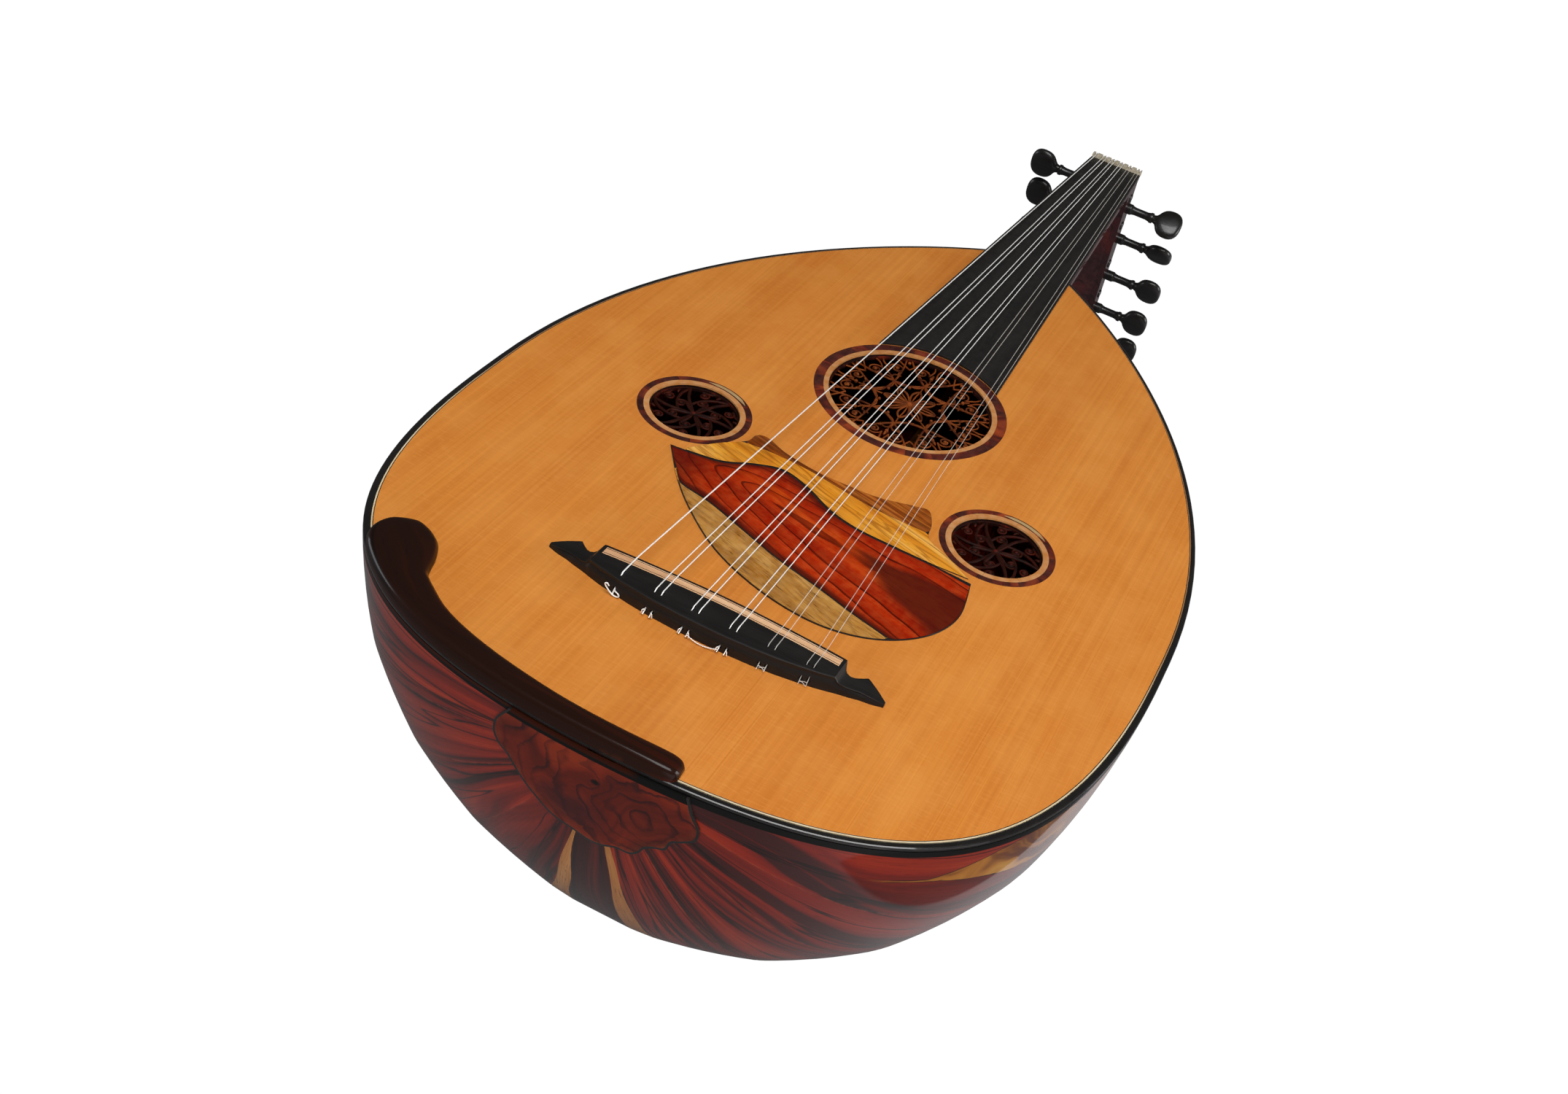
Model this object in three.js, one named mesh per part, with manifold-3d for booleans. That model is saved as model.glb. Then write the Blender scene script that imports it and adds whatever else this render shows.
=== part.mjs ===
// A short-necked lute with a rib-built bowl, a bent-back pegbox and eleven strings.
// Millimetres. X runs across, towards the treble side, Y runs along the neck, Z is up.
// The drawing frame has y = 0 where the strings break over the bridge and z = 0 on top of the soundboard.
import * as THREE from "three";
import { mergeVertices } from "three/addons/utils/BufferGeometryUtils.js";
import Module from "manifold-3d";

const wasm = await Module();
wasm.setup();

// Driving dimensions
const scaleLength = 585;
const tailReach = 98.3;
const bodyHalfWidth = 174.1;
const widestPlace = 91.6;
const neckJointPlace = 400;
const neckJointHalfWidth = 27.5;
const bowlDepth = 173;
const restFlatLength = 16;
const touchGap = 0.3;
const glueGap = 0.1;

// Body outline handles, as shares of the half width and of the lengths either side of the widest place
const tailHandleShare = 0.776;
const flankHandleShare = 0.697;
const shoulderHandleShare = 0.632;
const poleShare = 0.015;
const tailStations = 13;
const shoulderStations = 10;

// Bowl ribs
const ribWall = 3;
const centreRibAngle = 12;
const lightRibAngle = 6;
const sideRibs = 4;

// Soundboard, edge and bracing
const soundboardThickness = 2;
const bindingWidth = 4;
const bindingHeight = 1.2;
const bindingLedge = 0.6;
const braceWidth = 7;
const braceHeight = 14;
const braceTaper = 8;
const bracePlaceShares = [0.093, 0.257, 0.362, 0.783];

// Sound holes: ring inlays and fretted roses
const mainHolePlace = 211;
const mainRingRadius = 50.9;
const mainHoleRadius = 42.2;
const sideHolePlace = 125;
const sideHoleOffset = 80.4;
const sideRingRadius = 28.1;
const sideHoleRadius = 21.7;
const roseThickness = 1.8;
const roseSeat = 3.6;
const mainRingSides = 40;
const sideRingSides = 28;

// Bridge
const bridgeHalfLength = 78.6;
const bridgeHeight = 8;
const bridgeDepth = 21.5;
const bridgeBow = 2.2;
const bridgeBevel = 0.8;
const bridgeHoleRadius = 1.15;
const bridgeHolePlace = 13.2;
const bridgeExitHeight = 2.6;
const stripWidth = 4.6;
const stripDepth = 1.2;
const stripSetback = 1.5;
const stripHalfLength = 55.5;

// Fingerboard, neck and nut
const fingerboardThickness = 1.5;
const fingerboardRingGap = 0.8;
const nutLength = 4;
const nutEndMargin = 1.2;
const nutHeight = 3.9;
const nutSlotFloor = 2.6;
const nutSlotSide = 0.3;
const neckEndDepth = 18;
const neckSides = 16;
const neckBlockStations = 4;
const tailBlockLength = 18;
const tailBlockRadius = 48;

// Strings: one single course and five pairs
const courseCount = 6;
const bridgeFirstCourse = -42;
const bridgeCourseSpacing = 17.58;
const bridgePairGap = 3.2;
const nutCourseSpacing = 6.2;
const nutPairGap = 2.2;
const stringDiameters = [1.1, 0.9, 0.9, 0.85, 0.85, 0.8, 0.8, 0.7, 0.7, 0.6, 0.6];
const stringRestGap = 0.12;
const stringTailLength = 2.5;
const windingTurns = 2.25;
const windingSteps = 10;
const windingSpace = 0.5;
const stringSides = 5;

// Pegbox
const pegboxAngle = THREE.MathUtils.degToRad(70);
const pegboxLength = 191;
const pegboxNutStep = 0.2;
const pegboxTipHalfWidth = 12;
const pegboxTopDepth = 20;
const pegboxTipDepth = 17;
const pegboxFrontDrop = 3;
const pegboxFrontSetback = 0.8;
const pegboxScoopLength = 4;
const cheekThickness = 4.2;
const pegboxFloor = 2.6;
const pegboxCapLength = 4;
const pegboxPlugLength = 6;
const capInset = 2;

// Pegs
const firstPegBass = 10.5;
const firstPegTreble = 22;
const pegPlaceSpread = 4;
const lastPegMargin = 12;
const bassPegs = 6;
const treblePegs = 5;
const pegAxisShare = 0.4;
const pegThickRadius = 3.7;
const pegThinRadius = 3.1;
const pegClearance = 0.12;
const pegStub = 0.8;
const pegSides = 8;
const pegShoulderPlace = 3;
const pegTaperLength = 3;
const pegCollarRadius = 3.6;
const pegCollarLength = 2.4;
const pegNeckRadius = 2.7;
const pegHeadPlace = 18;
const pegHeadLength = 23;
const pegHeadHalfWidth = 10.4;
const pegHeadHalfThickness = 3.9;
const pegStandSpread = 1.6;
const firstLane = 8.4;
const lanePitch = 1.6;

// Tail clasp and arm rest
const claspThickness = 1.2;
const claspGap = 0.2;
const claspReach = 50;
const claspWave = 2.6;
const claspWaves = 9;
const armrestWidth = 14;
const armrestHeight = 6.5;

// Guard plate on the soundboard
const guardHalfLength = 80;
const guardPlace = 91;
const guardLeafDepth = 71;
const guardWaveHeight = 37;
const guardThickness = 0.6;

// Sizes worked out from the driving dimensions
const nutFront = scaleLength;
const nutBack = scaleLength + nutLength;
const bowlRatio = bowlDepth / bodyHalfWidth;
const boardUnderside = -soundboardThickness;
const nutFirstCourse = (-(courseCount - 1) * nutCourseSpacing) / 2;
const nutHalfWidth = nutPairGap / 2 + nutEndMargin - nutFirstCourse;
const pegboxTopHalfWidth = nutHalfWidth - pegboxNutStep;
const lastPeg = pegboxLength - lastPegMargin;
const pegPitch = (lastPeg - firstPegBass) / (bassPegs - 1);
const lowestFacet = boardUnderside - bowlDepth * Math.cos(THREE.MathUtils.degToRad(centreRibAngle / 2));

// Finishes
const finish = (color, roughness, metalness = 0) => new THREE.MeshStandardMaterial({ color, roughness, metalness });

const oud = new THREE.Group();
const body = new THREE.Group();
body.position.set(0, -widestPlace, -lowestFacet);
oud.add(body);

function addPart(name, geometry, material, parent = body) {
  const mesh = new THREE.Mesh(geometry, material);
  mesh.name = name;
  parent.add(mesh);
  return mesh;
}

// Closed solids from triangles, turned so that their faces point out
function solidFrom(triangles) {
  const real = triangles.filter(([a, b, c]) => !a.equals(b) && !b.equals(c) && !c.equals(a));
  const volume = real.reduce((sum, [a, b, c]) => sum + a.dot(b.clone().cross(c)), 0);
  const ordered = volume < 0 ? real.map(([a, b, c]) => [a, c, b]) : real;
  const geometry = new THREE.BufferGeometry();
  geometry.setFromPoints(ordered.flat());
  geometry.computeVertexNormals();
  return geometry;
}

function capTriangles(ring) {
  const normal = new THREE.Vector3();
  ring.forEach((p, i) => normal.add(p.clone().cross(ring[(i + 1) % ring.length])));
  normal.normalize();
  const steep = Math.abs(normal.z) > Math.SQRT1_2;
  const along = new THREE.Vector3(steep ? 1 : 0, 0, steep ? 0 : 1).projectOnPlane(normal).normalize();
  const across = normal.clone().cross(along);
  const flat = ring.map((p) => new THREE.Vector2(p.dot(along), p.dot(across)));
  return THREE.ShapeUtils.triangulateShape(flat, []).map(([a, b, c]) => {
    const turn = THREE.ShapeUtils.area([flat[a], flat[b], flat[c]]);
    return turn > 0 ? [ring[a], ring[b], ring[c]] : [ring[a], ring[c], ring[b]];
  });
}

// A solid whose sections are the given rings, closed at both ends
function loft(rings) {
  const triangles = [];
  for (let k = 0; k + 1 < rings.length; k += 1) {
    const low = rings[k];
    const high = rings[k + 1];
    for (let i = 0; i < low.length; i += 1) {
      const j = (i + 1) % low.length;
      triangles.push([low[i], low[j], high[j]], [low[i], high[j], high[i]]);
    }
  }
  capTriangles(rings[0]).forEach(([a, b, c]) => triangles.push([a, c, b]));
  triangles.push(...capTriangles(rings[rings.length - 1]));
  return solidFrom(triangles);
}

// A plate of even thickness from a plan outline and its holes
function plate(outline, low, high, holes = []) {
  const shape = new THREE.Shape(outline);
  shape.holes = holes.map((hole) => new THREE.Path(hole));
  const geometry = new THREE.ExtrudeGeometry(shape, { depth: high - low, bevelEnabled: false, steps: 1 });
  return geometry.translate(0, 0, low);
}

function circlePoints(radius, sides, centre = new THREE.Vector2()) {
  return Array.from({ length: sides }, (_, i) => {
    const angle = (i / sides) * 2 * Math.PI;
    return new THREE.Vector2(centre.x + radius * Math.cos(angle), centre.y + radius * Math.sin(angle));
  });
}

// Boolean cuts
function toManifold(geometry) {
  const bare = geometry.clone();
  bare.deleteAttribute("normal");
  bare.deleteAttribute("uv");
  const merged = mergeVertices(bare.index ? bare.toNonIndexed() : bare);
  const vertProperties = new Float32Array(merged.attributes.position.array);
  const triVerts = new Uint32Array(merged.index.array);
  return new wasm.Manifold(new wasm.Mesh({ numProp: 3, vertProperties, triVerts }));
}

function cutFrom(geometry, cutters) {
  const solid = cutters.reduce((left, cutter) => left.subtract(toManifold(cutter)), toManifold(geometry));
  const mesh = solid.getMesh();
  const result = new THREE.BufferGeometry();
  result.setAttribute("position", new THREE.Float32BufferAttribute(mesh.vertProperties, mesh.numProp));
  result.setIndex(Array.from(mesh.triVerts));
  result.computeVertexNormals();
  return result;
}

// An even tube along a list of points, with its frame carried along the path
function tube(points, radius, sides) {
  const tangents = points.map((p, i) => {
    const before = points[Math.max(i - 1, 0)];
    const after = points[Math.min(i + 1, points.length - 1)];
    return after.clone().sub(before).normalize();
  });
  let side = new THREE.Vector3(1, 0, 0).projectOnPlane(tangents[0]).normalize();
  const rings = points.map((p, i) => {
    side = side.clone().projectOnPlane(tangents[i]).normalize();
    const other = tangents[i].clone().cross(side);
    return circlePoints(radius, sides).map((c) => p.clone().addScaledVector(side, c.x).addScaledVector(other, c.y));
  });
  return loft(rings);
}

// Body outline: a tail arc up to the widest place, a short straight flank, and a shoulder down to the neck
const tailEnd = new THREE.Vector2(0, -tailReach);
const flankLow = widestPlace - restFlatLength / 2;
const flankHigh = widestPlace + restFlatLength / 2;
const tailCurve = new THREE.CubicBezierCurve(
  tailEnd,
  new THREE.Vector2(bodyHalfWidth * tailHandleShare, -tailReach),
  new THREE.Vector2(bodyHalfWidth, flankLow - flankHandleShare * (flankLow + tailReach)),
  new THREE.Vector2(bodyHalfWidth, flankLow),
);
const shoulderCurve = new THREE.CubicBezierCurve(
  new THREE.Vector2(bodyHalfWidth, flankHigh),
  new THREE.Vector2(bodyHalfWidth, flankHigh + shoulderHandleShare * (neckJointPlace - flankHigh)),
  new THREE.Vector2(neckJointHalfWidth, neckJointPlace),
  new THREE.Vector2(neckJointHalfWidth, neckJointPlace),
);

function station(curve, share) {
  const at = curve.getPoint(share);
  const tangent = curve.getTangent(share);
  return { at, outward: new THREE.Vector2(tangent.y, -tangent.x) };
}

// The last station is cut square across the neck, so walls there are measured across the body
function inset(place, depth) {
  if (place.square) return new THREE.Vector2(place.at.x - depth / place.outward.x, place.at.y);
  return place.at.clone().addScaledVector(place.outward, -depth);
}

const outline = [
  ...Array.from({ length: tailStations + 1 }, (_, i) =>
    station(tailCurve, poleShare + (1 - poleShare) * (i / tailStations))),
  ...Array.from({ length: shoulderStations + 1 }, (_, i) => station(shoulderCurve, i / shoulderStations)),
];
outline[outline.length - 1].square = true;

// The whole outline from the bass side of the neck joint, round the tail, to the treble side
function planOutline(depth) {
  const half = outline.map((place) => inset(place, depth));
  const middle = new THREE.Vector2(0, -tailReach + depth);
  return [...half.map((p) => new THREE.Vector2(-p.x, p.y)).reverse(), middle, ...half];
}

const lift = (points, z) => points.map((p) => new THREE.Vector3(p.x, p.y, z));

// Half width of the body at a place along it, at an inset from its edge
function halfWidthAt(y, depth) {
  const line = outline.map((place) => inset(place, depth));
  const next = line.findIndex((p) => p.y >= y);
  const low = line[Math.max(next - 1, 0)];
  const high = line[Math.max(next, 0)];
  const share = next > 0 ? (y - low.y) / (high.y - low.y) : 0;
  return THREE.MathUtils.lerp(low.x, high.x, share);
}

// A point of the bowl: an outline station turned down about the long axis, 0 at the bass edge, 180 at the treble
function bowlPoint(place, degrees, depth) {
  const p = inset(place, depth);
  const angle = THREE.MathUtils.degToRad(degrees);
  return new THREE.Vector3(-p.x * Math.cos(angle), p.y, boardUnderside - bowlRatio * p.x * Math.sin(angle));
}

// Bowl ribs, from the bass edge round to the treble edge
const sideRibAngle = (180 - centreRibAngle - 2 * lightRibAngle) / (2 * sideRibs);
const ribAngles = [
  ...Array(sideRibs).fill(sideRibAngle),
  lightRibAngle,
  centreRibAngle,
  lightRibAngle,
  ...Array(sideRibs).fill(sideRibAngle),
];
const ribEdges = ribAngles.reduce((edges, angle) => [...edges, edges[edges.length - 1] + angle], [0]);
const darkRib = finish(0x5a1d16, 0.3);
const lightRib = finish(0xb88a55, 0.35);

ribAngles.forEach((angle, i) => {
  const rings = outline.map((place) => [
    bowlPoint(place, ribEdges[i], 0),
    bowlPoint(place, ribEdges[i + 1], 0),
    bowlPoint(place, ribEdges[i + 1], ribWall),
    bowlPoint(place, ribEdges[i], ribWall),
  ]);
  const name = `rib_${String(i + 1).padStart(2, "0")}`;
  addPart(name, loft(rings), angle === lightRibAngle ? lightRib : darkRib);
});

// Blocks inside the bowl, shaped to its inner wall
function bowlSection(place, depth) {
  return ribEdges.map((edge) => bowlPoint(place, edge, depth));
}

const blockDepth = ribWall + touchGap;
const neckBlockRings = outline.slice(-neckBlockStations).map((place) => bowlSection(place, blockDepth));
addPart("neck_block", loft(neckBlockRings), finish(0xc39a62, 0.8));

const tailBlockPlaces = outline.filter(({ at }) => at.x < tailBlockRadius && at.y < widestPlace);
const tailBlockRings = tailBlockPlaces.map((place) => bowlSection(place, blockDepth));
const tailBlockFace = tailBlockRings[tailBlockRings.length - 1].map((p) => {
  const face = p.clone();
  face.y = -tailReach + blockDepth + tailBlockLength;
  return face;
});
addPart("tail_block", loft([...tailBlockRings, tailBlockFace]), finish(0xc39a62, 0.8));

// Soundboard with a rabbet for the edge binding and three round holes for the ring inlays
const bindingBase = -bindingHeight;
const boardRings = [
  lift(planOutline(bindingLedge), boardUnderside),
  lift(planOutline(bindingLedge), bindingBase),
  lift(planOutline(bindingWidth), bindingBase),
  lift(planOutline(bindingWidth), 0),
];
const soundHoles = [
  { name: "main", x: 0, y: mainHolePlace, ring: mainRingRadius, hole: mainHoleRadius, sides: mainRingSides },
  { name: "bass", x: -sideHoleOffset, y: sideHolePlace, ring: sideRingRadius, hole: sideHoleRadius,
    sides: sideRingSides },
  { name: "treble", x: sideHoleOffset, y: sideHolePlace, ring: sideRingRadius, hole: sideHoleRadius,
    sides: sideRingSides },
];
const throughCut = 2 * soundboardThickness;
const boardCutters = soundHoles.map(({ x, y, ring, sides }) =>
  plate(circlePoints(ring + glueGap, sides, new THREE.Vector2(x, y)), -throughCut, throughCut));
addPart("soundboard", cutFrom(loft(boardRings), boardCutters), finish(0xd98f45, 0.45));

const edgeRing = (depth, z) => lift(planOutline(depth), z);
const bindingCorners = [edgeRing(0, 0), edgeRing(bindingWidth, 0), edgeRing(bindingWidth, bindingBase),
  edgeRing(bindingLedge, bindingBase), edgeRing(bindingLedge, boardUnderside), edgeRing(0, boardUnderside)];
const bindingRings = bindingCorners[0].map((_, i) => bindingCorners.map((corner) => corner[i]));
addPart("edge_binding", loft(bindingRings), finish(0x14110f, 0.3));

// Braces glued across the underside of the soundboard
bracePlaceShares.forEach((share, i) => {
  const y = THREE.MathUtils.lerp(-tailReach, neckJointPlace, share);
  const clear = ribWall + touchGap;
  const low = halfWidthAt(y - braceWidth / 2, clear);
  const high = halfWidthAt(y + braceWidth / 2, clear);
  const half = Math.min(low, high) - touchGap;
  const section = [
    [-half, boardUnderside],
    [half, boardUnderside],
    [half - braceTaper, boardUnderside - braceHeight],
    [braceTaper - half, boardUnderside - braceHeight],
  ];
  const ringAt = (place) => section.map(([x, z]) => new THREE.Vector3(x, place, z));
  addPart(`brace_${i + 1}`, loft([ringAt(y - braceWidth / 2), ringAt(y + braceWidth / 2)]), finish(0xd8b27a, 0.8));
});

// Roses: each opening of the fretwork is a rounded cell placed in a ring about the centre
function cell(angle, inner, outer, halfAngle, lean, points) {
  return Array.from({ length: points }, (_, i) => {
    const s = (i / points) * 2 * Math.PI;
    const radius = (inner + outer) / 2 - ((outer - inner) / 2) * Math.cos(s);
    const around = angle + halfAngle * Math.sin(s) * (1 - lean * Math.cos(s));
    return new THREE.Vector2(radius * Math.cos(around), radius * Math.sin(around));
  });
}

// Rows of cells: petals, leaves between them, then two borders; radii and half angles are shares
const mainRoseRowShares = [
  { count: 8, shift: 0, inner: 0.09, outer: 0.355, half: 0.28, lean: 0.3, points: 8 },
  { count: 8, shift: 0.5, inner: 0.3, outer: 0.57, half: 0.22, lean: -0.3, points: 8 },
  { count: 8, shift: 0, inner: 0.42, outer: 0.735, half: 0.24, lean: 0.28, points: 8 },
  { count: 8, shift: 0.5, inner: 0.625, outer: 0.8, half: 0.255, lean: 0.1, points: 8 },
  { count: 16, shift: 0.5, inner: 0.84, outer: 0.965, half: 0.4, lean: -0.15, points: 7 },
];
const sideRoseRowShares = [
  { count: 6, shift: 0, inner: 0.15, outer: 0.49, half: 0.26, lean: 0.3, points: 8 },
  { count: 6, shift: 0.5, inner: 0.41, outer: 0.745, half: 0.24, lean: -0.1, points: 8 },
  { count: 12, shift: 0.5, inner: 0.8, outer: 0.955, half: 0.4, lean: -0.15, points: 7 },
];

function roseHoles(rows, radius) {
  return rows.flatMap((row) => Array.from({ length: row.count }, (_, i) => {
    const step = (2 * Math.PI) / row.count;
    return cell((i + row.shift) * step, row.inner * radius, row.outer * radius, row.half * step, row.lean, row.points);
  }));
}

const roseLow = boardUnderside - roseThickness;
soundHoles.forEach(({ name, x, y, ring, hole, sides }) => {
  const rows = name === "main" ? mainRoseRowShares : sideRoseRowShares;
  const rose = plate(circlePoints(ring + roseSeat, sides), roseLow, boardUnderside, roseHoles(rows, hole));
  addPart(`rose_${name}`, rose.translate(x, y, 0), finish(0x7c3a1a, 0.5));
  const inlay = plate(circlePoints(ring, sides), boardUnderside, 0, [circlePoints(hole, sides)]);
  addPart(`ring_${name}`, inlay.translate(x, y, 0), finish(0x4a1712, 0.4));
});

// Bridge: a bowed block with leaf ends; a section gives its front, its back and its height at a place across
const bridgeShares = [
  { along: 0, front: 0, back: 1, tall: 1 },
  { along: 0.3, front: 0.03, back: 0.96, tall: 1 },
  { along: 0.55, front: 0.08, back: 0.84, tall: 1 },
  { along: 0.725, front: 0.14, back: 0.7, tall: 1 },
  { along: 0.745, front: 0.3, back: 0.68, tall: 0.72 },
  { along: 0.78, front: 0.36, back: 0.65, tall: 0.6 },
  { along: 0.82, front: 0.28, back: 0.62, tall: 0.55 },
  { along: 0.86, front: 0.14, back: 0.58, tall: 0.5 },
  { along: 0.93, front: 0.28, back: 0.54, tall: 0.4 },
  { along: 1, front: 0.44, back: 0.47, tall: 0.22 },
];

function bridgeSection(side, { along, front, back, tall }) {
  const x = side * along * bridgeHalfLength;
  const nose = bridgeBow - front * bridgeDepth;
  const heel = bridgeBow - back * (bridgeDepth + bridgeBow);
  const top = tall * bridgeHeight;
  const bevel = bridgeBevel * Math.min(tall, (nose - heel) / bridgeDepth);
  return [
    new THREE.Vector3(x, nose, 0),
    new THREE.Vector3(x, nose, top - bevel),
    new THREE.Vector3(x, nose - bevel, top),
    new THREE.Vector3(x, heel + 2 * bevel, top),
    new THREE.Vector3(x, heel, top / 2),
    new THREE.Vector3(x, heel, 0),
  ];
}

const bassHalf = [...bridgeShares].reverse().slice(0, -1).map((share) => bridgeSection(-1, share));
const trebleHalf = bridgeShares.map((share) => bridgeSection(1, share));
const bridgeBlank = loft([...bassHalf, ...trebleHalf]);

// Front and back edges of the bridge at a place across it
function bridgeEdge(x, key) {
  const along = Math.abs(x) / bridgeHalfLength;
  const next = bridgeShares.findIndex((share) => share.along >= along);
  const low = bridgeShares[Math.max(next - 1, 0)];
  const high = bridgeShares[next];
  const span = high.along - low.along || 1;
  return THREE.MathUtils.lerp(low[key], high[key], (along - low.along) / span);
}
const bridgeFront = (x) => bridgeBow - bridgeEdge(x, "front") * bridgeDepth;
const bridgeBack = (x) => bridgeBow - bridgeEdge(x, "back") * (bridgeDepth + bridgeBow);

// The pale strip let into the top of the bridge
const stripPlaceShares = [-1, -0.76, -0.42, 0, 0.42, 0.76, 1];
function stripRings(grow, top) {
  return stripPlaceShares.map((share) => {
    const x = share * (stripHalfLength + grow);
    const nose = bridgeFront(x) - stripSetback + grow;
    const heel = nose - stripWidth - 2 * grow;
    const low = bridgeHeight - stripDepth - grow;
    return [[nose, low], [nose, top], [heel, top], [heel, low]].map(([y, z]) => new THREE.Vector3(x, y, z));
  });
}
addPart("bridge_strip", loft(stripRings(0, bridgeHeight)), finish(0xd2a27c, 0.5));

// Strings: places across at the bridge and at the nut
function courseStrings(first, spacing, gap) {
  return Array.from({ length: courseCount }, (_, i) => first + i * spacing)
    .flatMap((x, i) => (i === 0 ? [x] : [x - gap / 2, x + gap / 2]));
}
const bridgePlaces = courseStrings(bridgeFirstCourse, bridgeCourseSpacing, bridgePairGap);
const nutPlaces = courseStrings(nutFirstCourse, nutCourseSpacing, nutPairGap);

// Each string drops through a slanting hole that leaves by the back of the bridge
function bridgeHoleLine(x, height) {
  const mouth = new THREE.Vector3(x, -bridgeHolePlace, bridgeHeight);
  const exit = new THREE.Vector3(x, bridgeBack(x), bridgeExitHeight);
  const slope = exit.clone().sub(mouth);
  const kink = mouth.clone().addScaledVector(slope, -height / (bridgeHeight - bridgeExitHeight));
  return { kink, exit, direction: slope.normalize() };
}

const stringHoleSides = 6;
const stringHoles = bridgePlaces.map((x) => {
  const { kink, exit, direction } = bridgeHoleLine(x, bridgeBevel);
  const past = exit.clone().addScaledVector(direction, bridgeBevel);
  return tube([kink, past], bridgeHoleRadius, stringHoleSides);
});
const stripRecess = loft(stripRings(glueGap, bridgeHeight + bridgeBevel));
addPart("bridge", cutFrom(bridgeBlank, [stripRecess, ...stringHoles]), finish(0x161210, 0.3));

// Guard plate: a leaf of dark wood and a wave of pale wood above it, both outlined by a few knots
const leafLowerShares = [[-0.94, 0], [-0.75, 0.3], [-0.56, 0.53], [-0.31, 0.76], [-0.04, 0.91], [0.23, 0.99],
  [0.47, 1], [0.69, 0.93], [0.87, 0.79], [1, 0.59], [1.05, 0.34], [1, 0.01]];
const leafUpperShares = [[0.77, 0.01], [0.5, 0.01], [0.27, 0.03], [0.08, 0.14], [-0.13, 0.39], [-0.31, 0.5],
  [-0.47, 0.36], [-0.62, 0.14], [-0.78, 0.05], [-0.94, 0]];
const waveUpperShares = [[-0.85, 0.08], [-0.73, 0.45], [-0.61, 0.74], [-0.59, 0.95], [-0.52, 1], [-0.37, 0.86],
  [-0.14, 0.77], [0.08, 0.78], [0.26, 0.82], [0.47, 0.98], [0.55, 1], [0.61, 0.76], [0.65, 0.46], [0.81, 0.27],
  [0.97, 0.05]];

const guardPoint = (depth) => ([along, off]) =>
  new THREE.Vector2(along * guardHalfLength, guardPlace + off * depth);
function smoothEdge(knots, steps) {
  return new THREE.SplineCurve(knots).getPoints(steps);
}
const leafSteps = 22;
const waveSteps = 26;
const leafLower = smoothEdge(leafLowerShares.map(guardPoint(-guardLeafDepth)), leafSteps);
const leafUpper = smoothEdge(leafUpperShares.map(guardPoint(guardWaveHeight)), leafSteps);
const waveUpper = smoothEdge(waveUpperShares.map(guardPoint(guardWaveHeight)), waveSteps);
const waveLower = leafUpper
  .filter((p) => p.x > waveUpper[0].x && p.x < waveUpper[waveUpper.length - 1].x)
  .map((p) => new THREE.Vector2(p.x, p.y + touchGap));
addPart("guard_leaf", plate([...leafLower, ...leafUpper.slice(1, -1)], 0, guardThickness), finish(0x8a2b1c, 0.35));
addPart("guard_wave", plate([...waveUpper, ...waveLower], 0, guardThickness), finish(0xc98a2e, 0.4));

// Neck, from the body to the slanted joint with the pegbox
const pegboxU = new THREE.Vector3(0, Math.cos(pegboxAngle), -Math.sin(pegboxAngle));
const pegboxV = new THREE.Vector3(0, Math.sin(pegboxAngle), Math.cos(pegboxAngle));
const pegboxOrigin = new THREE.Vector3(0, nutBack, 0);
const pegboxPoint = (x, u, v) =>
  new THREE.Vector3(x, 0, 0).add(pegboxOrigin).addScaledVector(pegboxU, u).addScaledVector(pegboxV, v);

const neckTaper = (neckJointHalfWidth - nutHalfWidth) / (nutBack - neckJointPlace);
const neckHalfWidth = (y) => nutHalfWidth + neckTaper * (nutBack - y);
function neckRing(y, cutAtPegbox) {
  const run = (y - neckJointPlace) / (nutBack - neckJointPlace);
  const half = neckHalfWidth(y);
  const deep = THREE.MathUtils.lerp(bowlRatio * neckJointHalfWidth, neckEndDepth, run);
  const arc = Array.from({ length: neckSides + 1 }, (_, i) => {
    const angle = (i / neckSides) * Math.PI;
    return new THREE.Vector3(-half * Math.cos(angle), y, boardUnderside - deep * Math.sin(angle));
  });
  const ring = [new THREE.Vector3(-half, y, 0), ...arc, new THREE.Vector3(half, y, 0)];
  if (!cutAtPegbox) return ring;
  const joint = pegboxTopDepth + glueGap;
  return ring.map((p) => {
    const slid = p.clone();
    slid.y = nutBack - (joint + p.z * pegboxV.z) / pegboxV.y;
    return slid;
  });
}
const neckEnd = nutBack - pegboxTopDepth;
addPart("neck", loft([neckRing(neckJointPlace, false), neckRing(neckEnd, true)]), finish(0x3a1416, 0.35));

// Fingerboard, its end hollowed to follow the ring of the main sound hole
const hollowRadius = mainRingRadius + fingerboardRingGap;
const boardEndHalf = neckHalfWidth(mainHolePlace + hollowRadius);
const hollowAngle = Math.asin(boardEndHalf / hollowRadius);
const hollowSteps = 10;
const hollow = Array.from({ length: hollowSteps + 1 }, (_, i) => {
  const angle = hollowAngle * (1 - (2 * i) / hollowSteps);
  return new THREE.Vector2(hollowRadius * Math.sin(angle), mainHolePlace + hollowRadius * Math.cos(angle));
});
const fingerboardOutline = [
  new THREE.Vector2(-neckHalfWidth(nutFront), nutFront),
  new THREE.Vector2(neckHalfWidth(nutFront), nutFront),
  ...hollow,
];
addPart("fingerboard", plate(fingerboardOutline, 0, fingerboardThickness), finish(0x15100f, 0.35));

// Nut with a slot for each string
const nutTop = nutPlaces.flatMap((x, i) => {
  const slot = stringDiameters[i] / 2 + nutSlotSide;
  return [[x - slot, nutHeight], [x - slot, nutSlotFloor], [x + slot, nutSlotFloor], [x + slot, nutHeight]];
});
const nutProfile = [[-nutHalfWidth, 0], [-nutHalfWidth, nutHeight], ...nutTop, [nutHalfWidth, nutHeight],
  [nutHalfWidth, 0]];
const nutRing = (y) => nutProfile.map(([x, z]) => new THREE.Vector3(x, y, z));
addPart("nut", loft([nutRing(nutFront), nutRing(nutBack)]), finish(0xe9ddc0, 0.4));

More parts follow.
